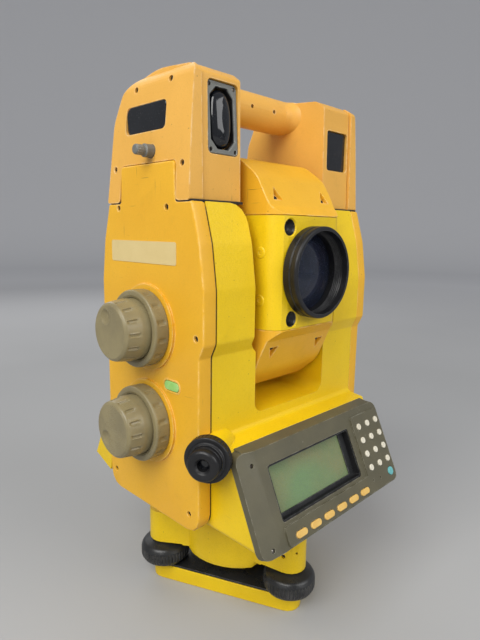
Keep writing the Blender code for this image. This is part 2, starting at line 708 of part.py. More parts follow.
def bezel(name, frame, deck):
    """Grey housing of one display: a tray open at the back, with the key panel raised.

    The deck line, given by two points in y and z, trims its top.
    """
    width = 2 * PANEL_HALF_WIDTH
    height = PANEL_TOP - PANEL_BOTTOM
    middle = (PANEL_TOP + PANEL_BOTTOM) / 2
    outer = box_outline(width, height, 6.0, (0, middle))
    shell = slab(name, [outer], (-PANEL_DEPTH, 0), frame, "bezel")
    (near, near_z), (far, far_z) = deck
    fall = (far_z - near_z) / (far - near)
    ends = [(y, near_z + fall * (y - near)) for y in (far - 20.0, near + 20.0)]
    above = [Vector(point) for point in (ends + [(near + 20.0, 200.0), (far - 20.0, 200.0)])]
    combine(shell, slab(name + "_deck_trim", [above], (-100, 100), frame.parent, facing="X"))
    for side in (-1, 1):
        corner = bezel_corner(side, far_z)
        combine(shell, slab("%s_corner_%d" % (name, side), [corner], (50, 115), frame.parent, facing="Y"))
    soften(shell, 1.6, 1)
    pocket = box_outline(width - 7.0, 61.5, 4.0, (0, -18.25))
    combine(shell, slab(name + "_pocket", [pocket], (-PANEL_DEPTH - 1, -PANEL_DEPTH + 1.9), frame))
    edge = PANEL_HALF_WIDTH - 2.0
    panel = rounded([(-60.0, PANEL_BOTTOM + 1.0, 2.0), (edge, PANEL_BOTTOM + 1.0, 4.0), (edge, 9.0, 4.0),
                     (42.0, 9.0, 2.0), (42.0, -37.5, 0), (-60.0, -37.5, 2.0)], 2)
    combine(shell, slab(name + "_raised_panel", [panel], (-1.0, RAISED), frame), 'UNION')
    sight = box_outline(95.0, 37.5, 2.0, (-11.5, -16.25), 2)
    combine(shell, slab(name + "_sight", [sight], (-10.0, 5.0), frame))
    for key, kind, u, v in key_spots():
        hole = key_outline(kind, (u, v), KEY_CLEARANCE)
        combine(shell, slab(name + "_hole_" + key, [hole], (-10.0, 5.0), frame))


def screen(name, frame):
    slab(name, [box_outline(98.0, 41.0, 1.5, (-11.5, -15.5), 2)], (-PANEL_DEPTH, -PANEL_DEPTH + 1.4), frame,
         "screen")


def front_keys(frame):
    colours = {"number": "key", "enter": "teal", "function": "amber"}
    for name, kind, u, v in key_spots():
        slab(name, [key_outline(kind, (0, 0))], (KEY_ROOT, KEY_TOP), frame, colours[kind], at=(u, v, 0))


def rear_keypad(frame):
    """One rubber mat that carries all the keys of the rear display."""
    mat = rounded([(-58.0, -48.2, 1.0), (77.8, -48.2, 3.5), (77.8, 6.0, 1.0), (43.0, 6.0, 1.0),
                   (43.0, -39.0, 0), (-58.0, -39.0, 1.0)], 2)
    keypad = slab("rear_keypad", [mat], (-PANEL_DEPTH, -PANEL_DEPTH + 1.4), frame, "key")
    for name, kind, u, v in key_spots():
        key = slab("rear_" + name, [key_outline(kind, (u, v))], (-PANEL_DEPTH + 0.7, KEY_TOP), frame)
        combine(keypad, key, 'UNION')


# ---------------------------------------------------------------- telescope
def scope_plan():
    return rounded([(-SCOPE_HALF, SCOPE_FRONT, 12.0), (SCOPE_HALF, SCOPE_FRONT, 12.0),
                    (SCOPE_HALF, SCOPE_BACK, 12.0), (-SCOPE_HALF, SCOPE_BACK, 12.0)], 4)


def telescope_body(parent):
    """Middle section of the telescope housing, with its two trunnions."""
    seam = SCOPE_SEAM - GAP / 2
    body = slab("telescope_body", [scope_plan()], (-seam, seam), parent, "casting")
    for side_name, sign in (("left", -1), ("right", 1)):
        trunnion = rod("trunnion_" + side_name, TRUNNION_RADIUS, (SCOPE_HALF - 3, 71.0), parent,
                       axis=(sign, 0, 0), steps=24)
        combine(body, trunnion, 'UNION')
    combine(body, rod("barrel_bore", BARREL_RADIUS + GAP, (-25, 75), parent, axis=(0, -1, 0), steps=32))
    combine(body, rod("focus_bore", 18.3, (-75, -20), parent, axis=(0, -1, 0), steps=28))
    for name, (x, z) in SCOPE_PORTS.items():
        port = rod("port_" + name, PORT_RADIUS, (64.0, 75.0), parent, at=(x, 0, z), axis=(0, -1, 0), steps=20)
        combine(body, port)


def scope_cover(name, sign, parent):
    """Domed cap over or under the telescope."""
    seam = SCOPE_SEAM + GAP / 2
    reach = SCOPE_TOP if sign > 0 else SCOPE_LOW
    span = (seam, reach + 2) if sign > 0 else (-reach - 2, -seam)
    cover = slab(name, [scope_plan()], span, parent, "cover")
    rise = reach - SCOPE_SEAM
    corners = [(SCOPE_FRONT - 1, sign * (SCOPE_SEAM - 3), 0), (SCOPE_FRONT, sign * (SCOPE_SEAM + 0.5), 0),
               (SCOPE_FRONT + 8, sign * (SCOPE_SEAM + 0.15 * rise), 6.0),
               (SCOPE_FRONT + 20, sign * (SCOPE_SEAM + 0.62 * rise), 24.0),
               (SCOPE_FRONT + 38, sign * (SCOPE_SEAM + 0.90 * rise), 20.0), (-3.0, sign * reach, 60.0),
               (SCOPE_BACK - 28, sign * (SCOPE_SEAM + 0.86 * rise), 20.0),
               (SCOPE_BACK - 13, sign * (SCOPE_SEAM + 0.55 * rise), 20.0),
               (SCOPE_BACK, sign * (SCOPE_SEAM + 0.5), 0), (SCOPE_BACK + 1, sign * (SCOPE_SEAM - 3), 0)]
    profile = slab(name + "_profile", [rounded(corners, 4)], (-60, 60), parent, facing="X")
    combine(cover, profile, 'INTERSECT')
    soften(cover, 1.5, 1, 60)


def optics(parent):
    """Objective ring and lens in front; focusing ring and eyepiece behind."""
    front = -OBJECTIVE_FRONT
    turned("objective_ring",
           [(29.2, front), (31.4, front), (OBJECTIVE_RADIUS, front - 1.0), (OBJECTIVE_RADIUS, 69.3),
            (BARREL_RADIUS, 69.3), (BARREL_RADIUS, -20.0), (22.0, -20.0), (22.0, 62.0), (28.0, 62.0)],
           parent, "black", axis=(0, -1, 0), steps=40, ring=True)
    turned("objective_lens", [(0, 69.5), (12.0, 69.0), (21.0, 67.4), (27.6, 65.0), (27.6, 62.4), (0, 62.4)],
           parent, "glass", axis=(0, -1, 0), steps=32)
    ring = slab("focusing_ring", [gear_outline(24.0, 0.8, 24), circle(14.4, steps=28)],
                (SCOPE_BACK + GAP, 73.0), parent, "black")
    aim(ring, (0, 1, 0))
    turned("eyepiece", [(6.0, 91.0), (12.5, 91.0), (14.0, 89.0), (14.0, 38.0), (9.0, 38.0), (9.0, 84.0)],
           parent, "black", axis=(0, 1, 0), steps=28, ring=True)


def sight_collimator(parent):
    """Open sight on top of the telescope, for rough aiming."""
    sight = block("sight_collimator", (-30.0, -14.0, SCOPE_TOP + 0.6), (-21.0, 22.0, SCOPE_TOP + 7.0),
                  parent, "black")
    soften(sight, 0.8, 1)


def build():
    station = empty("station", at=(CENTRING_X, CENTRING_Y, 0))
    tribrach = empty("tribrach_frame", station, rotation=(0, 0, TRIBRACH_TURN))
    alidade = empty("alidade_frame", station)
    beacon_mount = empty("beacon_mount", alidade, BEACON, (BEACON_LEAN, 0, 0))
    panel = empty("front_panel", alidade, (0, PANEL_Y, PANEL_Z), (PANEL_LEAN, 0, 0))
    turned_round = empty("rear_half", alidade, rotation=(0, 0, 180))
    rear_panel = empty("rear_panel", turned_round, (0, REAR_PANEL_Y, REAR_PANEL_Z), (PANEL_LEAN, 0, 0))
    scope = empty("telescope_axis", alidade, (0, 0, AXIS_Z))

    base_plate(tribrach)
    spring_plate(tribrach)
    foot_screws(tribrach)
    tribrach_body(tribrach)
    tribrach_lock_knob(tribrach)
    circular_level(tribrach)
    instrument_base(station)
    vertical_spindle(alidade)
    alidade_casting(alidade)
    side_covers(alidade)
    battery(alidade)
    side_knobs(alidade)
    power_button(alidade)
    optical_plummet(alidade)
    carry_handle(alidade, beacon_mount)
    tower_covers(alidade)
    handle_lock_knob(alidade)
    beacon(beacon_mount)
    bezel("front_bezel", panel, FRONT_DECK)
    screen("front_screen", panel)
    front_keys(panel)
    bezel("rear_bezel", rear_panel, REAR_DECK)
    screen("rear_screen", rear_panel)
    rear_keypad(rear_panel)
    telescope_body(scope)
    scope_cover("telescope_upper_cover", 1, scope)
    scope_cover("telescope_lower_cover", -1, scope)
    optics(scope)
    sight_collimator(scope)


build()
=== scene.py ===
import json
from math import atan2, cos, pi, radians, sin, tan

import bmesh
import bpy
from mathutils import Matrix, Vector


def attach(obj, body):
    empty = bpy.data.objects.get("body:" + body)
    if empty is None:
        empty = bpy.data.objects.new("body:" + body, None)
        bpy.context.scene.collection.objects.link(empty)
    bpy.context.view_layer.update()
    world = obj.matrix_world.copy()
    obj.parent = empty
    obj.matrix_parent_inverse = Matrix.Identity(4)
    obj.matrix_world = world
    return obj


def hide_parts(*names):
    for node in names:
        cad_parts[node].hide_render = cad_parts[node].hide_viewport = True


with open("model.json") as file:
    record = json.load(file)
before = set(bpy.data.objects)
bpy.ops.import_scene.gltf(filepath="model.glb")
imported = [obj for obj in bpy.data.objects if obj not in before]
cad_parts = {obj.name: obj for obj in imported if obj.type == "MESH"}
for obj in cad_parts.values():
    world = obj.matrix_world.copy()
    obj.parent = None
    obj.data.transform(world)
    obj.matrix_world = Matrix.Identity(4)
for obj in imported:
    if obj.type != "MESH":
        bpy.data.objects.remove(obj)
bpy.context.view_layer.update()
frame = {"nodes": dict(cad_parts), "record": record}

MM = 0.001
CENTRING = (0.01305, 0.005, 0.0)

# Frames, in millimetres about the vertical axis, as matrices into the row frame
ALIDADE = Matrix.Translation(CENTRING) @ Matrix.Scale(MM, 4)
TRIBRACH = ALIDADE @ Matrix.Rotation(radians(-6.0), 4, 'Z')
SCOPE = ALIDADE @ Matrix.Translation((0, 0, 265.0))
LEAN = Matrix.Rotation(radians(65.5), 4, 'X')
PANELS = {
    "front": ALIDADE @ Matrix.Translation((0, -83.9, 139.2)) @ LEAN,
    "rear": ALIDADE @ Matrix.Rotation(pi, 4, 'Z') @ Matrix.Translation((0, -73.9, 145.2)) @ LEAN,
}
BEACON = ALIDADE @ Matrix.Translation((-61.75, -39.6, 363.0)) @ Matrix.Rotation(radians(86.5), 4, 'X')

# Turns that lay an outline, drawn in x and y, onto an upright face
FACING_RIGHT = Matrix(((0, 0, 1, 0), (1, 0, 0, 0), (0, 1, 0, 0), (0, 0, 0, 1)))
FACING_LEFT = Matrix(((0, 0, -1, 0), (1, 0, 0, 0), (0, 1, 0, 0), (0, 0, 0, 1)))
FACING_FRONT = Matrix(((1, 0, 0, 0), (0, 0, -1, 0), (0, 1, 0, 0), (0, 0, 0, 1)))

COVER_X = 92.7
KNOB_BOSS_X = 94.5
KNOB_HEIGHTS = {"vertical": 226.9, "horizontal": 159.5}
PLUMMET = (-96.0, -65.0, 150.8)
PLUMMET_AXIS = (cos(radians(210.0)), sin(radians(210.0)), 0)
NUMBER_U = (49.2, 61.8, 74.4)
NUMBER_PITCH = 10.95
ENTER_KEY = (72.8, -43.0, 3.3)
FUNCTION_U = -46.6
FUNCTION_PITCH = 15.66
FUNCTION_V = -46.1
SCREW_CIRCLE = 63.8
LEVEL_CIRCLE = 55.0
SCREW_ANGLES = {"foot_screw_front": -90.0, "foot_screw_left": 150.0, "foot_screw_right": 30.0}


# ---------------------------------------------------------------- materials
PAINT_SHINE = 0.4
# Stretch and turn of the two sets of fine scratches
SCRATCH_DIRECTIONS = (((900.0, 900.0, 26.0), (0.5, 0.2, 0.0)), ((700.0, 40.0, 900.0), (0.0, 0.6, 0.9)))


def add(tree, kind, inputs=None, **settings):
    """Shader node with its settings and its inputs, which are values or sockets."""
    made = tree.nodes.new(kind)
    for key, value in settings.items():
        setattr(made, key, value)
    for key, value in (inputs or {}).items():
        if isinstance(value, bpy.types.NodeSocket):
            tree.links.new(value, made.inputs[key])
        else:
            made.inputs[key].default_value = value
    return made


def node_material(name):
    """New material with its node tree, its shader and the object coordinates."""
    material = bpy.data.materials.new(name)
    material.use_nodes = True
    tree = material.node_tree
    coord = add(tree, 'ShaderNodeTexCoord').outputs["Object"]
    return material, tree, tree.nodes["Principled BSDF"], coord


def noise(tree, coord, scale, detail=3.0, stretch=None, turn=(0, 0, 0), rough=0.55):
    if stretch:
        coord = add(tree, 'ShaderNodeMapping', {"Vector": coord, "Scale": stretch, "Rotation": turn}).outputs[0]
    return add(tree, 'ShaderNodeTexNoise', {"Vector": coord, "Scale": scale, "Detail": detail,
                                           "Roughness": rough}).outputs[0]


def band(tree, value, low, high, start=0.0, end=1.0):
    """Value mapped so that low gives start and high gives end."""
    return add(tree, 'ShaderNodeMapRange', {"Value": value, "From Min": low, "From Max": high,
                                           "To Min": start, "To Max": end}).outputs[0]


def math(tree, operation, first, second):
    return add(tree, 'ShaderNodeMath', {0: first, 1: second}, operation=operation).outputs[0]


def blend(tree, mask, first, second):
    made = add(tree, 'ShaderNodeMix', {0: mask}, data_type='RGBA')
    for index, value in ((6, first), (7, second)):
        if isinstance(value, bpy.types.NodeSocket):
            tree.links.new(value, made.inputs[index])
        else:
            made.inputs[index].default_value = (*value, 1.0)
    return made.outputs[2]


def edge_mask(tree, width):
    """One along convex and concave edges, zero on flat ground."""
    soft = add(tree, 'ShaderNodeBevel', {"Radius": width}, samples=4).outputs[0]
    normal = add(tree, 'ShaderNodeNewGeometry').outputs["Normal"]
    agree = add(tree, 'ShaderNodeVectorMath', {0: soft, 1: normal}, operation='DOT_PRODUCT').outputs["Value"]
    return band(tree, agree, 0.985, 0.90)


def surface(name, base, shade, rough, metallic=0.0, grain=(1500.0, 0.06), mottle=14.0, wear=None, scratches=None,
            specks=None, gloss=0.10, ripple=0.0):
    """Worn paint, rubber or plastic: colour patches, fine grain, scratches, specks and rubbed edges."""
    material, tree, shader, coord = node_material(name)
    patches = band(tree, noise(tree, coord, mottle, 4.0), 0.35, 0.68)
    colour = blend(tree, patches, base, shade)
    fine = noise(tree, coord, grain[0], 2.0)
    speck_tone = tuple(channel * 0.80 for channel in base)
    colour = blend(tree, band(tree, fine, 0.50, 0.78, 0.0, 0.55), colour, speck_tone)
    grime = band(tree, noise(tree, coord, 55.0, 6.0, rough=0.7), 0.58, 0.80, 0.0, 0.30)
    colour = blend(tree, grime, colour, tuple(channel * 0.62 for channel in base))
    roughness = math(tree, 'ADD', band(tree, noise(tree, coord, 38.0, 5.0), 0.3, 0.7, rough - gloss, rough + gloss),
                     band(tree, fine, 0.4, 0.6, 0.0, 0.05))
    height = fine
    if ripple:
        height = math(tree, 'ADD', height, band(tree, noise(tree, coord, 220.0, 2.0), 0.3, 0.7, 0.0, ripple))
    if scratches:
        tone, amount = scratches
        for stretch, turn in SCRATCH_DIRECTIONS:
            line = band(tree, noise(tree, coord, 1.0, 1.0, stretch, turn), 0.735, 0.775)
            where = band(tree, noise(tree, coord, 30.0, 2.0, rough=0.5), 0.56, 0.66)
            mark = math(tree, 'MULTIPLY', math(tree, 'MULTIPLY', line, where), amount)
            colour = blend(tree, mark, colour, tone)
            height = math(tree, 'SUBTRACT', height, math(tree, 'MULTIPLY', mark, 0.8))
    if specks:
        cells = add(tree, 'ShaderNodeTexVoronoi', {"Vector": coord, "Scale": 210.0, "Randomness": 1.0})
        spot = band(tree, cells.outputs["Distance"], 0.10, 0.045)
        chosen = band(tree, add(tree, 'ShaderNodeSeparateColor', {0: cells.outputs["Color"]}).outputs[0], 0.80, 0.83)
        colour = blend(tree, math(tree, 'MULTIPLY', math(tree, 'MULTIPLY', spot, chosen), 0.75), colour, specks)
    if wear:
        tone, amount, width = wear
        rubbed = math(tree, 'MULTIPLY', edge_mask(tree, width),
                      band(tree, noise(tree, coord, 120.0, 5.0, rough=0.7), 0.42, 0.60, 0.0, amount))
        colour = blend(tree, rubbed, colour, tone)
        roughness = math(tree, 'ADD', roughness, math(tree, 'MULTIPLY', rubbed, 0.1))
    bump = add(tree, 'ShaderNodeBump', {"Strength": grain[1], "Distance": 0.0006, "Height": height})
    tree.links.new(colour, shader.inputs["Base Color"])
    tree.links.new(roughness, shader.inputs["Roughness"])
    tree.links.new(bump.outputs[0], shader.inputs["Normal"])
    shader.inputs["Metallic"].default_value = metallic
    shader.inputs["Specular IOR Level"].default_value = PAINT_SHINE
    return material


def glass(name, base, shade, rough=0.05, coat=1.0, transmission=0.0, ior=1.5):
    """Coated glass or clear plastic with dust and faint smears."""
    material, tree, shader, coord = node_material(name)
    smear = band(tree, noise(tree, coord, 70.0, 4.0), 0.35, 0.70)
    dust = band(tree, noise(tree, coord, 1400.0, 2.0), 0.66, 0.74, 0.0, 0.25)
    colour = blend(tree, dust, blend(tree, smear, base, shade), (0.30, 0.30, 0.30))
    tree.links.new(colour, shader.inputs["Base Color"])
    tree.links.new(math(tree, 'ADD', band(tree, smear, 0.0, 1.0, rough, rough + 0.07), dust),
                   shader.inputs["Roughness"])
    shader.inputs["Coat Weight"].default_value = coat
    shader.inputs["Coat Roughness"].default_value = 0.04
    shader.inputs["Transmission Weight"].default_value = transmission
    shader.inputs["IOR"].default_value = ior
    return material


def liquid_crystal(name):
    """Grey-green display with brown patches and a faint grid of dots."""
    material, tree, shader, coord = node_material(name)
    patches = band(tree, noise(tree, coord, 32.0, 3.0), 0.38, 0.66)
    colour = blend(tree, patches, (0.150, 0.230, 0.095), (0.230, 0.235, 0.105))
    colour = blend(tree, band(tree, noise(tree, coord, 18.0, 1.0), 0.45, 0.62), colour, (0.165, 0.265, 0.115))
    dots = noise(tree, coord, 900.0, 1.0)
    colour = blend(tree, band(tree, dots, 0.45, 0.62, 0.0, 0.35), colour, (0.085, 0.145, 0.075))
    tree.links.new(colour, shader.inputs["Base Color"])
    tree.links.new(band(tree, dots, 0.3, 0.7, 0.22, 0.36), shader.inputs["Roughness"])
    bump = add(tree, 'ShaderNodeBump', {"Strength": 0.03, "Distance": 0.0004, "Height": dots})
    tree.links.new(bump.outputs[0], shader.inputs["Normal"])
    shader.inputs["Coat Weight"].default_value = 0.7
    shader.inputs["Coat Roughness"].default_value = 0.10
    return material


DARK_MARK = (0.10, 0.065, 0.02)
LOOKS = {
    "casting_paint": surface("casting_paint", (0.850, 0.585, 0.006), (0.760, 0.505, 0.006), 0.38,
                             grain=(1100.0, 0.26), wear=((0.50, 0.36, 0.12), 0.50, 0.0010),
                             scratches=(DARK_MARK, 0.45), specks=DARK_MARK, ripple=0.5),
    "cover_paint": surface("cover_paint", (0.830, 0.455, 0.026), (0.760, 0.395, 0.020), 0.38,
                           grain=(1400.0, 0.14), wear=((0.93, 0.68, 0.30), 0.80, 0.0016),
                           scratches=(DARK_MARK, 0.85), specks=DARK_MARK, ripple=0.30),
    "tower_paint": surface("tower_paint", (0.790, 0.425, 0.078), (0.720, 0.375, 0.062), 0.40,
                           grain=(1400.0, 0.15), wear=((0.90, 0.66, 0.36), 0.80, 0.0016),
                           scratches=(DARK_MARK, 0.70), specks=DARK_MARK, ripple=0.30),
    "taupe_plastic": surface("taupe_plastic", (0.270, 0.225, 0.115), (0.210, 0.175, 0.094), 0.29,
                             grain=(1700.0, 0.10), wear=((0.46, 0.43, 0.33), 0.85, 0.0007),
                             scratches=((0.36, 0.33, 0.24), 0.5), mottle=60.0),
    "bezel_plastic": surface("bezel_plastic", (0.112, 0.101, 0.060), (0.090, 0.083, 0.052), 0.40,
                             grain=(1900.0, 0.16), wear=((0.38, 0.37, 0.30), 0.7, 0.0007),
                             scratches=((0.42, 0.41, 0.34), 0.45), mottle=45.0),
    "black_plastic": surface("black_plastic", (0.008, 0.008, 0.009), (0.014, 0.014, 0.015), 0.34,
                             grain=(1700.0, 0.10), wear=((0.12, 0.12, 0.12), 0.8, 0.0007), mottle=70.0),
    "charcoal_plastic": surface("charcoal_plastic", (0.016, 0.017, 0.018), (0.026, 0.027, 0.028), 0.30,
                                grain=(1500.0, 0.10), wear=((0.22, 0.21, 0.20), 0.7, 0.0008),
                                scratches=((0.20, 0.19, 0.17), 0.4), mottle=60.0),
    "spindle_steel": surface("spindle_steel", (0.52, 0.51, 0.49), (0.42, 0.41, 0.39), 0.30, metallic=1.0,
                             grain=(2500.0, 0.08), wear=((0.70, 0.69, 0.66), 0.6, 0.0006), mottle=90.0),
    "level_glass": glass("level_glass", (0.42, 0.52, 0.30), (0.36, 0.46, 0.26)),
    "grey_plastic": surface("grey_plastic", (0.175, 0.180, 0.165), (0.135, 0.140, 0.130), 0.42,
                            grain=(1800.0, 0.10), wear=((0.55, 0.55, 0.50), 0.7, 0.0007),
                            scratches=((0.12, 0.12, 0.11), 0.4), mottle=60.0),
    "dark_glass": glass("dark_glass", (0.004, 0.005, 0.007), (0.008, 0.009, 0.012), coat=0.15),
    "screen_glass": liquid_crystal("screen_glass"),
    "key_rubber": surface("key_rubber", (0.74, 0.70, 0.58), (0.66, 0.61, 0.48), 0.50, grain=(2200.0, 0.08),
                          wear=((0.40, 0.34, 0.24), 0.5, 0.0005), mottle=120.0),
    "amber_rubber": surface("amber_rubber", (0.78, 0.50, 0.14), (0.70, 0.42, 0.10), 0.48, grain=(2200.0, 0.08),
                            wear=((0.86, 0.66, 0.34), 0.5, 0.0005), mottle=120.0),
    "teal_rubber": surface("teal_rubber", (0.14, 0.44, 0.45), (0.11, 0.37, 0.38), 0.42, grain=(2200.0, 0.08),
                           wear=((0.34, 0.60, 0.60), 0.5, 0.0005), mottle=120.0),
    "green_rubber": surface("green_rubber", (0.30, 0.62, 0.16), (0.40, 0.68, 0.24), 0.42, grain=(2200.0, 0.08),
                            wear=((0.62, 0.78, 0.45), 0.5, 0.0005), mottle=150.0),
}
COATING = glass("lens_coating", (0.14, 0.20, 0.34), (0.18, 0.18, 0.30), 0.02, coat=0.35, transmission=0.93,
                ior=1.30)
PLATE = surface("plate_film", (0.70, 0.55, 0.25), (0.67, 0.52, 0.23), 0.50, gloss=0.01, grain=(1800.0, 0.05),
                wear=((0.55, 0.42, 0.20), 0.6, 0.0006), scratches=(DARK_MARK, 0.5), mottle=70.0)
HARDWARE = surface("screw_steel", (0.30, 0.28, 0.25), (0.20, 0.18, 0.16), 0.34, metallic=1.0,
                   grain=(3000.0, 0.10), wear=((0.60, 0.58, 0.54), 0.8, 0.0003), mottle=200.0)
BLACKED = surface("blacked_steel", (0.030, 0.026, 0.024), (0.060, 0.045, 0.032), 0.45, metallic=0.4,
                  grain=(3000.0, 0.10), wear=((0.22, 0.20, 0.18), 0.7, 0.0003), mottle=200.0)


# ---------------------------------------------------------------- mesh helpers
HOLE_RISE = 2.0


def rounded(corners, steps=6):
    """Outline whose corners, given as x, y and radius, become arcs."""
    points = []
    for index, (x, y, radius) in enumerate(corners):
        corner = Vector((x, y))
        if radius == 0:
            points.append(corner)
            continue
        before = (Vector(corners[index - 1][:2]) - corner).normalized()
        after = (Vector(corners[(index + 1) % len(corners)][:2]) - corner).normalized()
        half = before.angle(after) / 2
        centre = corner + (before + after).normalized() * radius / sin(half)
        start = corner + before * radius / tan(half) - centre
        end = corner + after * radius / tan(half) - centre
        first = atan2(start.y, start.x)
        sweep = (atan2(end.y, end.x) - first + pi) % (2 * pi) - pi
        for step in range(steps + 1):
            angle = first + sweep * step / steps
            points.append(centre + radius * Vector((cos(angle), sin(angle))))
    return points


def oblong(width, height, radius, centre=(0, 0), steps=6):
    x, y = width / 2, height / 2
    corners = [(-x, -y, radius), (x, -y, radius), (x, y, radius), (-x, y, radius)]
    return [point + Vector(centre) for point in rounded(corners, steps)]


def circle(radius, steps=24):
    turns = [2 * pi * step / steps for step in range(steps)]
    return [radius * Vector((cos(turn), sin(turn))) for turn in turns]


def aimed(frame_matrix, at, axis):
    """Frame at a point whose own Z lies along the axis."""
    turn = Vector((0, 0, 1)).rotation_difference(Vector(axis)).to_matrix().to_4x4()
    return frame_matrix @ Matrix.Translation(at) @ turn


def prism(outline, low, high):
    """Flat outline extruded from low to high."""
    solid = bmesh.new()
    rings = [[solid.verts.new((x, y, height)) for x, y in outline] for height in (low, high)]
    count = len(outline)
    for i in range(count):
        j = (i + 1) % count
        solid.faces.new((rings[0][i], rings[0][j], rings[1][j], rings[1][i]))
    solid.faces.new(rings[0][::-1])
    solid.faces.new(rings[1])
    bmesh.ops.recalc_face_normals(solid, faces=solid.faces)
    return solid


def frame_ring(outer, inner, low, high):
    """Flat frame between two outlines with the same number of points."""
    solid = bmesh.new()
    count = len(outer)
    loops = [[solid.verts.new((x, y, height)) for x, y in outline]
             for outline, height in ((outer, low), (outer, high), (inner, high), (inner, low))]
    for k in range(4):
        for i in range(count):
            j = (i + 1) % count
            solid.faces.new((loops[k][i], loops[k][j], loops[(k + 1) % 4][j], loops[(k + 1) % 4][i]))
    bmesh.ops.recalc_face_normals(solid, faces=solid.faces)
    return solid


def arc_profile(points, steps=4):
    """Turned profile as radius, height and fillet; the end points stay sharp."""
    result = []
    for index, (r, z, fillet) in enumerate(points):
        here = Vector((r, z))
        if fillet == 0 or index in (0, len(points) - 1):
            result.append(here)
            continue
        before = Vector(points[index - 1][:2]) - here
        after = Vector(points[index + 1][:2]) - here
        reach = min(fillet, before.length * 0.49, after.length * 0.49)
        first, last = here + before.normalized() * reach, here + after.normalized() * reach
        for step in range(steps + 1):
            t = step / steps
            result.append(first * (1 - t) ** 2 + here * 2 * t * (1 - t) + last * t ** 2)
    return result


def lathe(points, steps=96, shape=None, spacing=None, closed=False, fillet_steps=4):
    """Profile of radius, height and fillet turned about Z; shape(angle, r, z) may change the radius."""
    profile = arc_profile(points, fillet_steps)
    if closed:
        profile.append(profile[0].copy())
    if spacing:
        dense = [profile[0]]
        for point in profile[1:]:
            cuts = max(1, int((point - dense[-1]).length / spacing))
            start = dense[-1]
            dense += [start.lerp(point, (i + 1) / cuts) for i in range(cuts)]
        profile = dense
    solid = bmesh.new()
    rings = []
    for r, z in profile:
        ring = []
        for i in range(steps):
            angle = 2 * pi * i / steps
            radius = shape(angle, r, z) if shape and r > 0.01 else r
            ring.append(solid.verts.new((radius * cos(angle), radius * sin(angle), z)))
        rings.append(ring)
    for lower, upper in zip(rings, rings[1:]):
        for i in range(steps):
            j = (i + 1) % steps
            solid.faces.new((lower[i], lower[j], upper[j], upper[i]))
    bmesh.ops.remove_doubles(solid, verts=solid.verts, dist=1e-4)
    bmesh.ops.dissolve_degenerate(solid, edges=solid.edges, dist=1e-5)
    bmesh.ops.recalc_face_normals(solid, faces=solid.faces)
    return solid


def notched(count, depth, low, high, width=0.22, phase=0.0, lip=0.0):
    """Evenly spaced grip notches between two heights, each with a small raised lip beside it."""
    def shape(angle, radius, height):
        if height < low or height > high or radius < 1.0:
            return radius
        place = (angle / (2 * pi) * count + phase) % 1.0
        edge = min(1.0, (height - low) / 0.8, (high - height) / 0.8)
        away = abs(place - 0.5) / (width / 2)
        if away < 1.0:
            return radius - depth * edge * min(1.0, (1.0 - away) * 3.0)
        if away < 1.5:
            return radius + lip * edge * (1.0 - abs(away - 1.25) * 4.0)
        return radius
    return shape


def box_mesh(low, high):
    solid = bmesh.new()
    bmesh.ops.create_cube(solid, size=1.0)
    size = Vector(high) - Vector(low)
    bmesh.ops.scale(solid, verts=solid.verts, vec=size)
    bmesh.ops.translate(solid, verts=solid.verts, vec=Vector(low) + size / 2)
    return solid


def bake(obj):
    """The object's evaluated mesh, with its modifiers in it."""
    bpy.context.view_layer.update()
    evaluated = obj.evaluated_get(bpy.context.evaluated_depsgraph_get())
    mesh = bpy.data.meshes.new_from_object(evaluated)
    obj.modifiers.clear()
    obj.data = mesh


def linked(name, data):
    """New object that holds the data, linked to the scene."""
    obj = bpy.data.objects.new(name, data)
    bpy.context.scene.collection.objects.link(obj)
    return obj


def to_object(name, solid):
    """New object with the solid as its mesh."""
    mesh = bpy.data.meshes.new(name)
    solid.to_mesh(mesh)
    solid.free()
    return linked(name, mesh)


def cut(obj, solids):
    """Take away solids that are already in the row frame."""
    for solid in solids:
        tool = to_object("cutter", solid)
        modifier = obj.modifiers.new("cut", 'BOOLEAN')
        modifier.operation = 'DIFFERENCE'
        modifier.solver = 'EXACT'
        modifier.object = tool
        bake(obj)
        bpy.data.objects.remove(tool)


def placed(solid, matrix):
    bmesh.ops.transform(solid, matrix=matrix, verts=solid.verts)
    return solid


def round_edges(obj, width, segments=3, angle=40.0):
    bevel = obj.modifiers.new("edges", 'BEVEL')
    bevel.width = width * MM
    bevel.segments = segments
    bevel.limit_method = 'ANGLE'
    bevel.angle_limit = radians(angle)
    bevel.use_clamp_overlap = True
    bake(obj)


def shade(obj, angle=38.0):
    obj.data.shade_smooth()
    obj.data.set_sharp_from_angle(angle=radians(angle))
    weighted = obj.modifiers.new("normals", 'WEIGHTED_NORMAL')
    weighted.keep_sharp = True
    weighted.weight = 100
    bake(obj)


def finish_piece(obj, body, slot, nodes=(), material=None, angle=38.0):
    shade(obj, angle)
    obj.data.materials.clear()
    obj.data.materials.append(material or LOOKS[slot])
    for polygon in obj.data.polygons:
        polygon.material_index = 0
    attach(obj, body)
    if nodes:
        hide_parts(*nodes)
    return obj


def raw(name, solid, matrix):
    """Object whose mesh is placed in the row frame."""
    return to_object(name, placed(solid, matrix))


def piece(name, solid, matrix, body, slot, nodes=(), material=None, soften=0.0, segments=3, angle=38.0):
    obj = raw(name, solid, matrix)
    if soften:
        round_edges(obj, soften, segments)
    return finish_piece(obj, body, slot, nodes, material, angle)


def copy_of(node):
    """Clean copy of a CAD node, welded and with its flat faces joined."""
    solid = bmesh.new()
    solid.from_mesh(frame["nodes"][node].data)
    bmesh.ops.remove_doubles(solid, verts=solid.verts, dist=2e-6)
    bmesh.ops.dissolve_limit(solid, angle_limit=radians(0.6), verts=solid.verts, edges=solid.edges)
    return to_object(node + "_fine", solid)


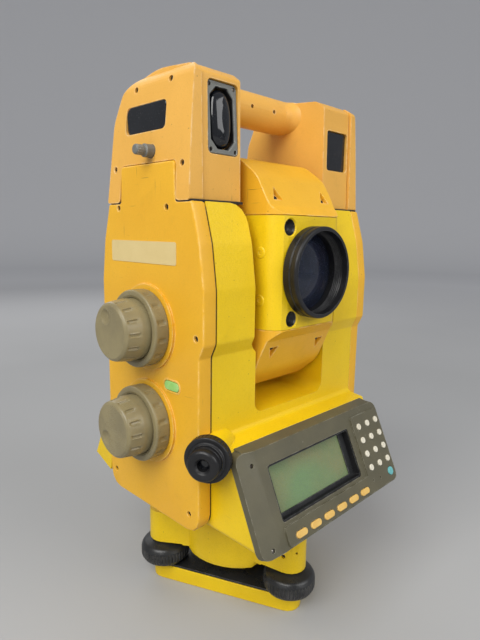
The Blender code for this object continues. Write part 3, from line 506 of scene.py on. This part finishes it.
def refined(node, body, slot, width, segments, angle, cutters=()):
    """Copy of a CAD node with recesses cut in and every edge rounded."""
    obj = copy_of(node)
    cut(obj, cutters)
    round_edges(obj, width, segments, angle)
    return finish_piece(obj, body, slot, (node,))


def hole(matrix, at, axis, radius, depth):
    """Round cutter that goes depth below a point against the axis."""
    return placed(prism(circle(radius), -depth, HOLE_RISE), aimed(matrix, at, axis))


def sink(matrix, at, axis, radius, depth):
    """Countersunk screw seat."""
    return placed(lathe([(0, 1.0, 0), (radius + 0.7, 1.0, 0), (radius + 0.35, 0.02, 0), (radius, -0.35, 0),
                         (radius, -depth, 0), (0, -depth, 0)], 24), aimed(matrix, at, axis))


SCREW_MESHES = {}


def screw(name, matrix, at, axis, radius, body, material=None, sunk=1.0):
    """Cross-head screw whose head lies sunk below the surface."""
    key = (radius, material)
    if key not in SCREW_MESHES:
        maker = raw("screw_maker", lathe([(0, 0.0, 0), (radius * 0.55, -0.02, 0), (radius * 0.95, -0.30, 0.25),
                                          (radius, -1.0, 0), (0, -1.0, 0)], 28, fillet_steps=3),
                    Matrix.Identity(4))
        arm, wide = radius * 0.72, radius * 0.17
        cut(maker, [box_mesh((-x, -y, -0.55), (x, y, 1.0)) for x, y in ((arm, wide), (wide, arm))])
        shade(maker, 30.0)
        maker.data.materials.clear()
        maker.data.materials.append(material or HARDWARE)
        SCREW_MESHES[key] = maker.data
        bpy.data.objects.remove(maker)
    mesh = SCREW_MESHES[key].copy()
    mesh.transform(aimed(matrix, Vector(at) - Vector(axis).normalized() * sunk, axis))
    obj = linked(name, mesh)
    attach(obj, body)
    return obj


# ---------------------------------------------------------------- camera, light and floor
def make_camera():
    place = Vector((-0.28298, -0.28419, 0.29310))
    look = Vector((0.7026, 0.6906, -0.1716)).normalized()
    right = look.cross(Vector((0, 0, 1))).normalized()
    up = right.cross(look).normalized()
    roll = radians(0.85)
    across = right * cos(roll) + up * sin(roll)
    upward = up * cos(roll) - right * sin(roll)
    camera = bpy.data.cameras.new("camera")
    camera.sensor_fit = 'VERTICAL'
    camera.sensor_height = 36.0
    camera.lens = 28.73
    camera.clip_start = 0.01
    obj = linked("camera", camera)
    axes = Matrix((across, upward, -look)).transposed().to_4x4()
    obj.matrix_world = Matrix.Translation(place) @ axes
    bpy.context.scene.camera = obj


def area_light(name, at, aim_at, size, power, tone=(1, 1, 1)):
    light = bpy.data.lights.new(name, 'AREA')
    light.shape = 'RECTANGLE'
    light.size, light.size_y = size
    light.energy = power
    light.color = tone
    obj = linked(name, light)
    obj.location = at
    obj.rotation_euler = (Vector(aim_at) - Vector(at)).to_track_quat('-Z', 'Y').to_euler()


def stage_sheet(name, profile, camera_only):
    """Round floor or backdrop of pale paper."""
    obj = to_object(name, lathe(profile, 128, fillet_steps=24))
    obj.data.shade_smooth()
    material, tree, shader, coord = node_material(name)
    colour = blend(tree, band(tree, noise(tree, coord, 1.6, 2.0), 0.35, 0.65), (0.390, 0.393, 0.395),
                   (0.415, 0.418, 0.420))
    # The paper is painted lighter away from the middle: painted light that makes up for the lamps falling off with
    # distance
    distance = add(tree, 'ShaderNodeVectorMath', {0: coord}, operation='LENGTH').outputs["Value"]
    colour = blend(tree, band(tree, distance, 0.8, 2.8), colour, (0.74, 0.74, 0.75))
    tree.links.new(colour, shader.inputs["Base Color"])
    shader.inputs["Roughness"].default_value = 0.8
    shader.inputs["Specular IOR Level"].default_value = 0.2
    obj.data.materials.append(material)
    if camera_only:
        obj.visible_diffuse = False
        obj.visible_glossy = False
        obj.visible_shadow = False
        obj.visible_transmission = False


def make_studio():
    world = bpy.data.worlds.new("studio")
    world.use_nodes = True
    world.node_tree.nodes["Background"].inputs["Color"].default_value = (0.93, 0.95, 1.0, 1)
    world.node_tree.nodes["Background"].inputs["Strength"].default_value = 0.34
    bpy.context.scene.world = world
    bpy.context.scene.view_settings.view_transform = 'Standard'
    centre = (0.0, 0.0, 0.20)
    area_light("key", (-1.15, -0.35, 1.25), centre, (1.2, 1.0), 25.0, (1.0, 0.985, 0.955))
    area_light("front", (0.35, -1.6, 1.05), centre, (1.3, 1.0), 14.0)
    area_light("back", (0.5, 1.5, 1.2), centre, (1.4, 1.0), 7.0)
    stage_sheet("floor", [(0, 0, 0), (3.0, 0, 0)], False)
    stage_sheet("backdrop", [(3.0, 0, 0), (4.4, 0, 1.3), (4.4, 4.0, 0)], True)


# ---------------------------------------------------------------- tribrach
PINS = [(-159.0, 48.5, 1.7), (-111.0, 51.9, 1.0)]


def lobe_rim(angle, radius, height):
    """Fine ribs around the lower rim of a foot screw."""
    if radius < 18.0 or height < 17.5 or height > 26.5:
        return radius
    return radius - 0.55 * max(0.0, sin(angle * 44)) ** 2


def build_tribrach():
    centres = {name: Vector((SCREW_CIRCLE * cos(radians(bearing)), SCREW_CIRCLE * sin(radians(bearing)), 0))
               for name, bearing in SCREW_ANGLES.items()}
    for name, centre in centres.items():
        solid = lathe([(0, 56.0, 0), (5.0, 56.0, 0.4), (5.0, 33.5, 0), (11.5, 33.5, 1.2), (15.0, 32.0, 1.5),
                       (18.5, 30.4, 1.5), (20.5, 26.8, 1.2), (20.5, 19.5, 1.2), (18.6, 16.2, 0.8), (4.5, 16.2, 0),
                       (4.5, 6.0, 0), (0, 6.0, 0)], 176, lobe_rim, 1.2)
        piece(name + "_knob", solid, TRIBRACH @ Matrix.Translation(centre), name, "charcoal_plastic", (name,))
    front = centres["foot_screw_front"]
    pins = []
    for bearing, z, r in PINS:
        out = Vector((cos(radians(bearing)), sin(radians(bearing)), 0))
        pins.append((front + out * 12.8 + Vector((0, 0, z)), out, r))
    holes = [hole(TRIBRACH, at, out, r, 2.6) for at, out, r in pins]
    refined("tribrach_body", "tribrach", "casting_paint", 0.9, 3, 42.0, holes)
    for number, (at, out, r) in enumerate(pins):
        plug = lathe([(0, -1.2, 0), (r * 0.9, -1.4, 0.1), (r * 0.9, -2.4, 0), (0, -2.4, 0)], 20)
        piece("tribrach_pin_%d" % number, plug, aimed(TRIBRACH, at, out), "tribrach", "charcoal_plastic",
              material=BLACKED)
    refined("base_plate", "tribrach", "casting_paint", 0.5, 2, 40.0)
    refined("spring_plate", "tribrach", "charcoal_plastic", 0.25, 2, 50.0)
    refined("instrument_base", "tribrach", "casting_paint", 0.8, 3, 40.0)
    refined("tribrach_lock_knob", "tribrach_lock_knob", "charcoal_plastic", 0.7, 3, 40.0)
    seat = Vector((LEVEL_CIRCLE * cos(radians(-30)), LEVEL_CIRCLE * sin(radians(-30)), 0))
    spot = TRIBRACH @ Matrix.Translation(seat)
    cup = lathe([(7.4, 50.6, 0), (7.4, 51.5, 0.2), (8.6, 51.5, 0.4), (9.5, 50.5, 0.4), (9.5, 43.3, 0.3),
                 (0, 43.3, 0), (0, 48.6, 0), (7.4, 48.6, 0)], 48, closed=True)
    piece("level_cup", cup, spot, "tribrach", "spindle_steel", ("circular_level",))
    piece("level_vial", lathe([(0, 51.3, 0), (4.0, 51.15, 0), (7.3, 50.6, 0.2), (7.3, 48.7, 0), (0, 48.7, 0)], 48),
          spot, "tribrach", "level_glass")
    ring = lathe([(3.2, 51.22, 0), (3.2, 51.32, 0), (3.7, 51.30, 0), (3.7, 51.15, 0)], 40, closed=True)
    piece("level_ring", ring, spot, "tribrach", "black_plastic")


# ---------------------------------------------------------------- alidade
# Inset of the black strips that paint shade into the seams
SEAM_SHADE_INSET = 0.55
COVER_SCREWS = [(-22.0, 307.5), (33.3, 307.8), (-50.8, 226.0), (-43.7, 104.2), (45.5, 106.0)]
TOWER_SCREWS = [(-36.1, 333.8), (-20.5, 386.0), (16.8, 385.0), (38.2, 334.5)]
TOWER_TAPER = ((300.0, 92.7), (312.0, 92.7), (360.0, 89.5), (389.0, 86.8), (397.5, 76.0))


def taper_x(z):
    """Distance of the tower's outer face from the middle plane."""
    for (z0, x0), (z1, x1) in zip(TOWER_TAPER, TOWER_TAPER[1:]):
        if z <= z1:
            return x0 + (x1 - x0) * (z - z0) / (z1 - z0)
    return TOWER_TAPER[-1][1]


BODY_SIDE = [(-53.5, 91.5, 12.0), (-53.5, 213.0, 4.0), (-58.0, 222.0, 6.0), (-58.0, 256.0, 30.0),
             (-54.0, 285.0, 30.0), (-46.5, 311.0, 6.0)]


def build_casting():
    """The casting, black strips under the seams around it that paint shade into the gaps, and the cheeks beside the
    rear display.
    """
    refined("alidade_casting", "alidade", "casting_paint", 1.6, 4, 34.0)
    middle = 201.0
    outline = [(y, z, r) for y, z, r in BODY_SIDE] + [(-y, z, r) for y, z, r in reversed(BODY_SIDE)]
    inset = [(y * (1 - SEAM_SHADE_INSET / 54.0), middle + (z - middle) * (1 - SEAM_SHADE_INSET / 110.0), r)
             for y, z, r in outline]
    # Black strips under the seams between the side covers and the casting: painted shade that darkens the gaps
    for side, low, high in (("left", -82.1, -80.2), ("right", 80.2, 82.1)):
        seam_shade = raw(side + "_seam_shade", prism(rounded(inset), low, high), ALIDADE @ FACING_RIGHT)
        if side == "right":
            cut(seam_shade, [placed(box_mesh((78.0, -12.0, 237.8), (84.0, 12.0, 248.2)), ALIDADE)])
        finish_piece(seam_shade, "alidade", "black_plastic")
    # Black strips under the seams below the tower covers: painted shade in these gaps too
    shelf = [(-92.7 + SEAM_SHADE_INSET, -46.5 + SEAM_SHADE_INSET, 3.0), (-46.5 - SEAM_SHADE_INSET, -46.5 + SEAM_SHADE_INSET, 1.0),
             (-46.5 - SEAM_SHADE_INSET, 46.5 - SEAM_SHADE_INSET, 1.0), (-92.7 + SEAM_SHADE_INSET, 46.5 - SEAM_SHADE_INSET, 3.0)]
    for side, sign in (("left", 1), ("right", -1)):
        corners = [(sign * x, y, r) for x, y, r in shelf]
        piece(side + "_shelf_seam_shade", prism(rounded(corners), 310.4, 312.0), ALIDADE, "alidade", "black_plastic")
    cheek = [Vector(p) for p in ((72.0, 92.0), (88.0, 98.4), (94.6, 101.0), (67.8, 158.6), (59.0, 157.0))]
    for side, low, high in (("left", -82.4, -80.8), ("right", 80.8, 82.4)):
        piece(side + "_cheek", prism(cheek, low, high), ALIDADE @ FACING_RIGHT, "alidade",
              "casting_paint", soften=0.4)


def build_side_covers():
    for side, sign in (("left", -1), ("right", 1)):
        axis = (sign, 0, 0)
        node = side + "_side_cover"
        cutters = [sink(ALIDADE, (sign * COVER_X, y, z), axis, 1.9, 2.2) for y, z in COVER_SCREWS]
        refined(node, "alidade", "cover_paint", 0.7, 3, 34.0, cutters)
        for number, (y, z) in enumerate(COVER_SCREWS):
            screw("%s_cover_screw_%d" % (side, number), ALIDADE, (sign * COVER_X, y, z), axis, 1.75, "alidade",
                  BLACKED, 1.1)
        lean = Vector((sign, 0, 0.055)).normalized()
        seats = [(sign * taper_x(z), y, z) for y, z in TOWER_SCREWS]
        cutters = [sink(ALIDADE, seat, lean, 1.9, 2.4) for seat in seats]
        refined(side + "_tower_cover", "alidade", "tower_paint", 0.7, 3, 34.0, cutters)
        for number, seat in enumerate(seats):
            screw("%s_tower_screw_%d" % (side, number), ALIDADE, seat, lean, 1.75, "alidade", BLACKED, 1.2)
    plate = prism(oblong(75.0, 14.9, 1.6, (5.5, 278.1)), -0.2, 0.35)
    piece("blank_plate", plate, ALIDADE @ Matrix.Translation((-COVER_X, 0, 0)) @ FACING_LEFT, "alidade",
          "cover_paint", material=PLATE, soften=0.12, segments=2)
    window = prism(rounded([(-22.0, -8.7, 3.2), (22.0, -8.7, 3.2), (22.0, 8.7, 6.0), (-22.0, 8.7, 3.2)]), -0.5, 0.9)
    taper = Matrix.Rotation(radians(-3.0), 4, 'Y')
    piece("side_window", window, ALIDADE @ Matrix.Translation((-87.4, 4.5, 365.4)) @ taper @ FACING_LEFT,
          "alidade", "dark_glass", soften=0.5)
    window = prism(oblong(27.0, 30.0, 2.2), 0.0, 2.6)
    piece("front_window", window, ALIDADE @ Matrix.Translation((65.0, -37.0, 357.2)) @ FACING_FRONT, "alidade",
          "dark_glass", soften=0.5)


def build_knobs():
    for name, height in KNOB_HEIGHTS.items():
        spot = aimed(ALIDADE, (-KNOB_BOSS_X, 0, height), (-1, 0, 0))
        front = 28.6
        knob = raw(name + "_jog", lathe(
            [(0, front, 0), (17.6, front, 0.3), (19.5, front - 1.4, 1.0), (20.5, front - 9.0, 0.5),
             (21.0, front - 12.2, 0.6), (21.0, 0.3, 0), (5.0, 0.3, 0), (5.0, -21.0, 0), (0, -21.0, 0)], 196,
            notched(14, 0.85, front - 10.5, front - 2.4, 0.24, lip=0.25), 0.9), spot)
        place = Vector((9.5, 4.5, 0)) if name == "vertical" else Vector((-7.5, 8.0, 0))
        ball = bmesh.new()
        bmesh.ops.create_uvsphere(ball, u_segments=48, v_segments=32, radius=8.5)
        bmesh.ops.translate(ball, verts=ball.verts, vec=(place.x, place.y, front + 6.6))
        cut(knob, [placed(ball, spot)])
        finish_piece(knob, name + "_jog_knob", "taupe_plastic", (name + "_jog_knob",), angle=50.0)
        ring = lathe([(21.4, 0.3, 0), (26.5, 0.3, 0.5), (26.5, 11.0, 1.6), (23.0, 11.0, 0.4), (21.4, 10.2, 0)], 196,
                     notched(14, 0.95, 2.2, 8.6, 0.26, 0.4, lip=0.25), 0.8, closed=True)
        piece(name + "_shuttle", ring, spot, name + "_shuttle_ring", "taupe_plastic", (name + "_shuttle_ring",),
              angle=50.0)
    power = prism(oblong(15.2, 6.2, 3.0), -9.0, 0.6)
    spot = ALIDADE @ Matrix.Translation((-COVER_X, -26.3, 190.0)) @ FACING_LEFT
    piece("power_cap", power, spot, "power_button", "green_rubber", ("power_button",), soften=0.55)
    rim = frame_ring(oblong(18.6, 9.6, 4.7), oblong(15.9, 6.9, 3.35), -5.0, 0.45)
    piece("power_rim", rim, spot, "alidade", "cover_paint", soften=0.3)
    grip = lathe([(0, 11.0, 0), (2.6, 11.0, 0.4), (3.3, 10.2, 0.4), (3.3, 4.2, 0.3), (4.25, 3.8, 0.3),
                  (4.25, -10, 0), (0, -10, 0)], 48, lambda a, r, z: r - 0.25 * max(0.0, sin(a * 12)) if 4.5 < z < 10 else r, 0.8)
    piece("handle_lock", grip, aimed(ALIDADE, (-COVER_X, -4.0, 343.4), (-1, 0, 0)), "handle_lock_knob",
          "grey_plastic", ("handle_lock_knob",))


def build_plummet():
    spot = aimed(ALIDADE, PLUMMET, PLUMMET_AXIS)
    ring = lathe([(11.8, -6.5, 0), (15.3, -6.5, 0.5), (15.3, 0.0, 1.1), (12.4, 0.0, 0.3), (11.8, -0.6, 0)], 144,
                 lambda a, r, z: r - (0.5 * max(0.0, sin(a * 36)) if r > 14.8 and -5.6 < z < -1.2 else 0.0), 0.6,
                 closed=True)
    piece("plummet_ring", ring, spot, "plummet_focus_ring", "black_plastic", ("plummet_focus_ring",), angle=50.0)
    collar = lathe([(10.7, 0.0, 0), (10.7, 0.9, 0), (11.9, 0.5, 0.2), (12.6, -0.4, 0), (11.8, -0.4, 0),
                    (11.8, 0.05, 0)], 96, closed=True)
    piece("plummet_collar", collar, spot, "plummet_focus_ring", "black_plastic")
    cup = lathe([(4.0, 7.4, 0), (5.2, 8.8, 0.5), (8.6, 9.5, 0.9), (10.4, 8.2, 1.0), (10.5, 0.3, 0.3), (6.7, 0.3, 0),
                 (6.7, -12.0, 0), (4.0, -12.0, 0)], 96,
                lambda a, r, z: r - (0.35 if r > 10.0 and 3.0 < z < 3.9 else 0.0), 0.45, closed=True)
    piece("plummet_eyecup", cup, spot, "plummet_eyepiece", "black_plastic", ("plummet_eyepiece",))
    piece("plummet_eye_lens", lathe([(0, 4.6, 0), (2.5, 4.4, 0), (3.95, 3.9, 0), (3.95, 2.6, 0), (0, 2.6, 0)], 40),
          spot, "plummet_eyepiece", "dark_glass")


def build_handle():
    tube_y, tube_z, radius = 2.0, 385.2, 13.35

    def under_top(angle, r, height):
        """Flare that fades out where the tube is level with the tower top."""
        return min(r, radius - 0.1 + max(0.0, r - radius) * (1.0 - cos(angle) ** 2) ** 1.5)

    flares = []
    for sign in (-1, 1):
        flares.append(placed(lathe([(0, -1.0, 0), (radius + 9.0, -1.0, 0), (radius + 5.2, 1.2, 1.6),
                                    (radius + 1.6, 4.6, 3.0), (radius + 0.1, 10.0, 3.0), (radius - 0.6, 13.0, 0),
                                    (0, 13.0, 0)], 96, under_top, 1.5),
                             aimed(ALIDADE, (sign * 46.6, tube_y, tube_z), (-sign, 0, 0))))
    screws = (-3.3, 21.6)
    holes = [hole(ALIDADE, (x, tube_y - radius + 0.15, tube_z), (0, -1, 0), 1.5, 2.0) for x in screws]
    for sign in (-1, 1):
        near, far = sorted((sign * 80.2, sign * 81.6))
        holes.append(placed(box_mesh((near, -48.0, 313.0), (far, -40.3, 394.0)), ALIDADE))
    refined("carry_handle", "alidade", "tower_paint", 1.1, 3, 34.0, holes)
    for number, x in enumerate(screws):
        screw("handle_screw_%d" % number, ALIDADE, (x, tube_y - radius, tube_z), (0, -1, 0), 1.35, "alidade",
              BLACKED, 1.0)
    for number, flare in enumerate(flares):
        piece("handle_flare_%d" % number, flare, Matrix.Identity(4), "alidade", "tower_paint")


def build_beacon():
    half_w, half_h, chamfer = 10.25, 19.0, 5.5

    def octagon(inset, height):
        x, y, c = half_w - inset, half_h - inset, chamfer
        return [Vector((px, py, height)) for px, py in
                ((-x, -y + c), (-x + c, -y), (x - c, -y), (x, -y + c),
                 (x, y - c), (x - c, y), (-x + c, y), (-x, y - c))]

    corners = [(-10.6, 19.6), (10.6, 19.6), (-10.6, -19.6), (10.6, -19.6)]
    seats = [sink(BEACON, (x, y, 1.2), (0, 0, 1), 1.35, 1.8) for x, y in corners]
    refined("beacon_frame", "alidade", "grey_plastic", 0.6, 3, 34.0, seats)
    for number, (x, y) in enumerate(corners):
        screw("beacon_screw_%d" % number, BEACON, (x, y, 1.2), (0, 0, 1), 1.3, "alidade",
              HARDWARE if y > 0 else BLACKED, 0.35 if y > 0 else 0.9)
    liner = bmesh.new()
    rows = [[liner.verts.new(p) for p in octagon(inset, height)]
            for inset, height in ((0.05, 0.3), (0.35, 0.3), (0.6, -3.9), (0.05, -3.9))]
    for k in range(4):
        for i in range(8):
            j = (i + 1) % 8
            liner.faces.new((rows[k][i], rows[k][j], rows[(k + 1) % 4][j], rows[(k + 1) % 4][i]))
    bmesh.ops.recalc_face_normals(liner, faces=liner.faces)
    piece("beacon_liner", liner, BEACON, "alidade", "black_plastic", soften=0.15, segments=2)
    dome = bmesh.new()
    rings = []
    for step in range(9):
        t = step / 8
        inset = 0.5 + 8.2 * (1 - cos(t * pi / 2))
        rings.append([dome.verts.new(p) for p in octagon(min(inset, 8.9), -3.4 + 6.4 * sin(t * pi / 2))])
    for low, high in zip(rings, rings[1:]):
        for i in range(8):
            j = (i + 1) % 8
            dome.faces.new((low[i], low[j], high[j], high[i]))
    dome.faces.new(rings[-1])
    dome.faces.new(rings[0][::-1])
    bmesh.ops.recalc_face_normals(dome, faces=dome.faces)
    obj = raw("beacon_dome", dome, BEACON)
    smooth = obj.modifiers.new("round", 'SUBSURF')
    smooth.levels = 2
    smooth.render_levels = 2
    bake(obj)
    finish_piece(obj, "alidade", "dark_glass", ("beacon_lens",), angle=60.0)


def build_battery():
    ribs = [placed(box_mesh((95.9, -20.0, z), (99.0, 20.0, z + 2.2)), ALIDADE) for z in range(206, 224, 4)]
    refined("battery", "battery", "cover_paint", 0.6, 3, 34.0, ribs)
    refined("battery_latch", "battery_latch", "taupe_plastic", 0.5, 3, 34.0)
    # Black lining in the gap around the battery: painted shade that darkens the seam
    shade_lining = frame_ring(oblong(69.4, 113.4, 6.0, (0, 176.0)), oblong(68.2, 112.2, 5.2, (0, 176.0)), 82.0, 91.6)
    piece("battery_shade_lining", shade_lining, ALIDADE @ FACING_RIGHT, "alidade", "black_plastic")


# ---------------------------------------------------------------- display units
def key_spots():
    """Name, slot, outline and place of each key."""
    spots = []
    for row in range(4):
        for column, u in enumerate(NUMBER_U):
            spots.append(("%d_%d" % (row + 1, column + 1), "key_rubber", None, 2.5, u, -NUMBER_PITCH * row))
    spots.append(("enter", "teal_rubber", None, ENTER_KEY[2], ENTER_KEY[0], ENTER_KEY[1]))
    for index in range(6):
        spots.append(("f%d" % (index + 1), "amber_rubber", (11.0, 4.5), 0, FUNCTION_U + FUNCTION_PITCH * index,
                      FUNCTION_V))
    return spots


def key_solid(size, radius):
    if size:
        return prism(oblong(size[0], size[1], size[1] / 2 - 0.02, steps=10), -5.8, 2.2)
    return lathe([(0, 2.05, 0), (radius * 0.45, 2.05, 0.2), (radius * 0.72, 2.2, 0.2), (radius, 2.0, 0.5),
                  (radius, -5.8, 0), (0, -5.8, 0)], 32)


def build_display(which):
    matrix = PANELS[which]
    corner_screws = [(-71.0, 6.2), (77.3, 3.8), (-72.9, -46.9), (76.5, -47.5)]
    slope = [Vector(p) for p in ((-66.5, 0.0), (-66.5, 4.0), (-86.0, 4.0), (-86.0, -3.2), (-83.0, -3.0))]
    tilted = placed(prism(slope, -30.0, 62.0), matrix @ Matrix.Rotation(radians(90), 4, 'X'))
    seats = [sink(matrix, (u, v, -0.4 if u < -66 else 0.0), (0, 0, 1), 1.5, 1.6) for u, v in corner_screws]
    marks = [hole(matrix, (u, v, 1.2), (0, 0, 1), 0.9, 0.8) for u, v in ((47.0, -42.5), (57.0, -43.5))]
    refined(which + "_bezel", "alidade", "bezel_plastic", 0.5, 3, 34.0, [tilted] + seats + marks)
    for number, (u, v) in enumerate(corner_screws):
        screw("%s_bezel_screw_%d" % (which, number), matrix, (u, v, -0.5 if u < -66 else 0.0), (0, 0, 1), 1.4,
              "alidade", HARDWARE if v < 0 else BLACKED, 0.7)
    centre = (-11.5, -16.25)
    # Black lining of the walls of the screen opening: painted shade in the deep recess
    liner = frame_ring(oblong(94.9, 37.4, 2.0, centre), oblong(92.4, 34.9, 1.6, centre), -6.5, -0.7)
    piece(which + "_shade_lining", liner, matrix, "alidade", "black_plastic")
    # Dark border round the screen, widest on the right: partly the screen's own mask, partly painted shade of the
    # recess
    mask = frame_ring(oblong(94.2, 36.7, 1.6, centre), oblong(84.0, 31.0, 0.8, (-13.5, -15.2)), -6.5, -5.7)
    piece(which + "_lcd_mask", mask, matrix, "alidade", "charcoal_plastic", soften=0.2, segments=2)
    panel = prism(oblong(97.6, 40.6, 1.4, (-11.5, -15.5)), -7.9, -6.6)
    piece(which + "_lcd", panel, matrix, "alidade", "screen_glass", (which + "_screen",), soften=0.15, segments=2)
    for name, slot, size, radius, u, v in key_spots():
        spot = matrix @ Matrix.Translation((u, v, 0))
        body = "key_" + name if which == "front" else "alidade"
        nodes = ("key_" + name,) if which == "front" else ()
        piece("%s_key_%s" % (which, name), key_solid(size, radius), spot, body, slot, nodes,
              soften=0.5 if size else 0.0)
    if which == "rear":
        mat = prism(rounded([(-58.0, -48.2, 1.0), (77.8, -48.2, 3.5), (77.8, 6.0, 1.0), (43.0, 6.0, 1.0),
                             (43.0, -39.0, 0), (-58.0, -39.0, 1.0)], 3), -7.9, -6.6)
        piece("rear_key_mat", mat, matrix, "alidade", "key_rubber", ("rear_keypad",), soften=0.15, segments=2)


# ---------------------------------------------------------------- telescope
def wedge_notch(x, y, z, lean, sign):
    """Triangular pocket over a cover screw, wide towards the seam."""
    outline = [Vector((-4.6, -4.8 * sign)), Vector((4.6, -4.8 * sign)), Vector((0.4, 5.0 * sign))]
    tilt = Matrix.Rotation(radians(lean - 9.0 * sign), 4, 'X')
    return placed(prism(outline, -3.0, 6.0), SCOPE @ Matrix.Translation((x, y, z)) @ tilt)


def build_telescope():
    ports = [(-24.8, 31.0), (-20.5, -32.0)]
    chamfers = [placed(lathe([(0, 1.0, 0), (7.4, 1.0, 0), (5.5, -1.0, 0), (5.5, -4.6, 0), (0, -4.6, 0)], 40),
                       aimed(SCOPE, (x, -69.0, z), (0, -1, 0))) for x, z in ports]
    refined("telescope_body", "telescope", "casting_paint", 0.9, 3, 40.0, chamfers)
    for number, (x, z) in enumerate(ports):
        cup = lathe([(0, -4.4, 0), (2.4, -4.0, 0.3), (4.6, -2.2, 0.4), (5.45, -0.7, 0.2), (5.45, -4.6, 0),
                     (0, -4.6, 0)], 40)
        piece("port_cup_%d" % number, cup, aimed(SCOPE, (x, -69.0, z), (0, -1, 0)), "telescope", "black_plastic")
        cap = lathe([(0, 0.05, 0), (1.2, 0.05, 0), (1.5, 0.5, 0.1), (3.5, 0.5, 0.4), (4.2, 0.0, 0.1),
                     (4.2, -0.8, 0), (0, -0.8, 0)], 40)
        seat = (-38.0, -54.0, 13.8 if number == 0 else -18.9)
        piece("plug_cap_%d" % number, cap, aimed(SCOPE, seat, (-1, 0, 0)), "telescope", "casting_paint")
    for cover, sign, lean, y, z in (("telescope_upper_cover", 1, 59.7, -56.2, 53.6),
                                    ("telescope_lower_cover", -1, 114.7, -56.4, -57.2)):
        notches = [wedge_notch(x, y, z, lean, sign) for x in (-26.3, 27.0)]
        refined(cover, "telescope", "cover_paint", 0.9, 3, 30.0, notches)
        out = Vector((0, -sin(radians(lean)), cos(radians(lean))))
        rise = Vector((0, cos(radians(lean)), sin(radians(lean)))) * sign
        for number, x in enumerate((-26.3, 27.0)):
            screw("%s_screw_%d" % (cover, number), SCOPE, Vector((x, y, z)) - rise * 2.6 - out * 1.1, out, 1.5,
                  "telescope", BLACKED, 0.3)
    ring = lathe([(29.2, 80.2, 0), (31.4, 80.2, 0.5), (32.2, 79.2, 0.4), (32.2, 76.6, 0.2), (31.7, 76.2, 0.2),
                  (31.7, 74.8, 0.2), (32.2, 74.4, 0.2), (32.2, 69.3, 0.2), (30.0, 69.3, 0), (30.0, -20.0, 0),
                  (22.0, -20.0, 0), (22.0, 62.0, 0), (27.9, 62.0, 0), (27.9, 69.8, 0.2), (28.5, 70.3, 0.15),
                  (28.1, 70.9, 0.15), (28.7, 71.5, 0.15), (28.3, 72.1, 0.15), (28.9, 72.8, 0.15), (28.5, 73.5, 0.15),
                  (29.1, 74.3, 0.15), (28.7, 75.1, 0.15), (29.2, 76.0, 0.2)], 144, closed=True, fillet_steps=2)
    along = aimed(SCOPE, (0, 0, 0), (0, -1, 0))
    piece("objective_mount", ring, along, "telescope", "black_plastic", ("objective_ring",), angle=45.0)
    lens = lathe([(0, 69.5, 0), (12.0, 69.0, 4), (21.0, 67.4, 4), (27.6, 65.0, 0), (27.6, 62.4, 0),
                  (0, 62.4, 0)], 96)
    piece("objective_glass", lens, along, "telescope", "dark_glass", ("objective_lens",), COATING)
    baffle = [(21.8, 58.0, 0)]
    for step in range(7):
        baffle += [(21.0 - step * 1.3, 57.4 - step * 5.0, 0), (19.6 - step * 1.3, 57.0 - step * 5.0, 0)]
    baffle += [(10.0, 20.0, 0), (21.8, 20.0, 0)]
    piece("barrel_baffle", lathe(baffle, 96, closed=True), along, "telescope", "black_plastic")
    piece("inner_lens", lathe([(0, 36.5, 0), (6.0, 36.0, 1), (9.9, 34.6, 0), (9.9, 32.0, 0), (0, 32.0, 0)], 64),
          along, "telescope", "dark_glass")
    back = aimed(SCOPE, (0, 0, 0), (0, 1, 0))

    def grip_ribs(angle, radius, height):
        if radius > 23 and 58 < height < 71.5:
            return radius - 0.8 * min(1.0, max(0.0, sin(angle * 24)) * 2)
        return radius

    focus = lathe([(14.4, 56.3, 0), (24.0, 56.3, 0.8), (24.0, 73.0, 1.2), (16.0, 73.0, 0.4), (14.4, 72.0, 0)], 192,
                  grip_ribs, 1.0, closed=True)
    piece("focus_grip", focus, back, "focusing_ring", "black_plastic", ("focusing_ring",), angle=50.0)
    eye = lathe([(6.0, 88.6, 0), (8.0, 90.6, 0.6), (12.3, 91.0, 0.8), (14.0, 89.0, 1.0), (14.0, 38.0, 0),
                 (9.0, 38.0, 0), (9.0, 84.0, 0)], 96,
                lambda a, r, z: r - (0.4 * max(0.0, sin(a * 30)) if r > 13.5 and 75.5 < z < 86 else 0.0), 1.0,
                closed=True)
    piece("eye_cup", eye, back, "eyepiece", "black_plastic", ("eyepiece",), angle=50.0)
    piece("eye_lens", lathe([(0, 83.4, 0), (5.0, 83.0, 1), (8.9, 81.6, 0), (8.9, 79.0, 0), (0, 79.0, 0)], 48), back,
          "eyepiece", "dark_glass")
    sight = [placed(box_mesh((-28.6, -16.0, 85.2), (-22.4, 24.0, 87.6)), SCOPE)]
    refined("sight_collimator", "telescope", "black_plastic", 0.5, 3, 34.0, sight)


make_camera()
make_studio()
build_tribrach()
build_casting()
build_side_covers()
build_knobs()
build_plummet()
build_handle()
build_beacon()
build_battery()
build_display("front")
build_display("rear")
build_telescope()

slots = {part["node"]: part["material_slot"] for part in frame["record"]["subparts"]}
for node, obj in frame["nodes"].items():
    obj.data.materials.clear()
    obj.data.materials.append(LOOKS[slots[node]])
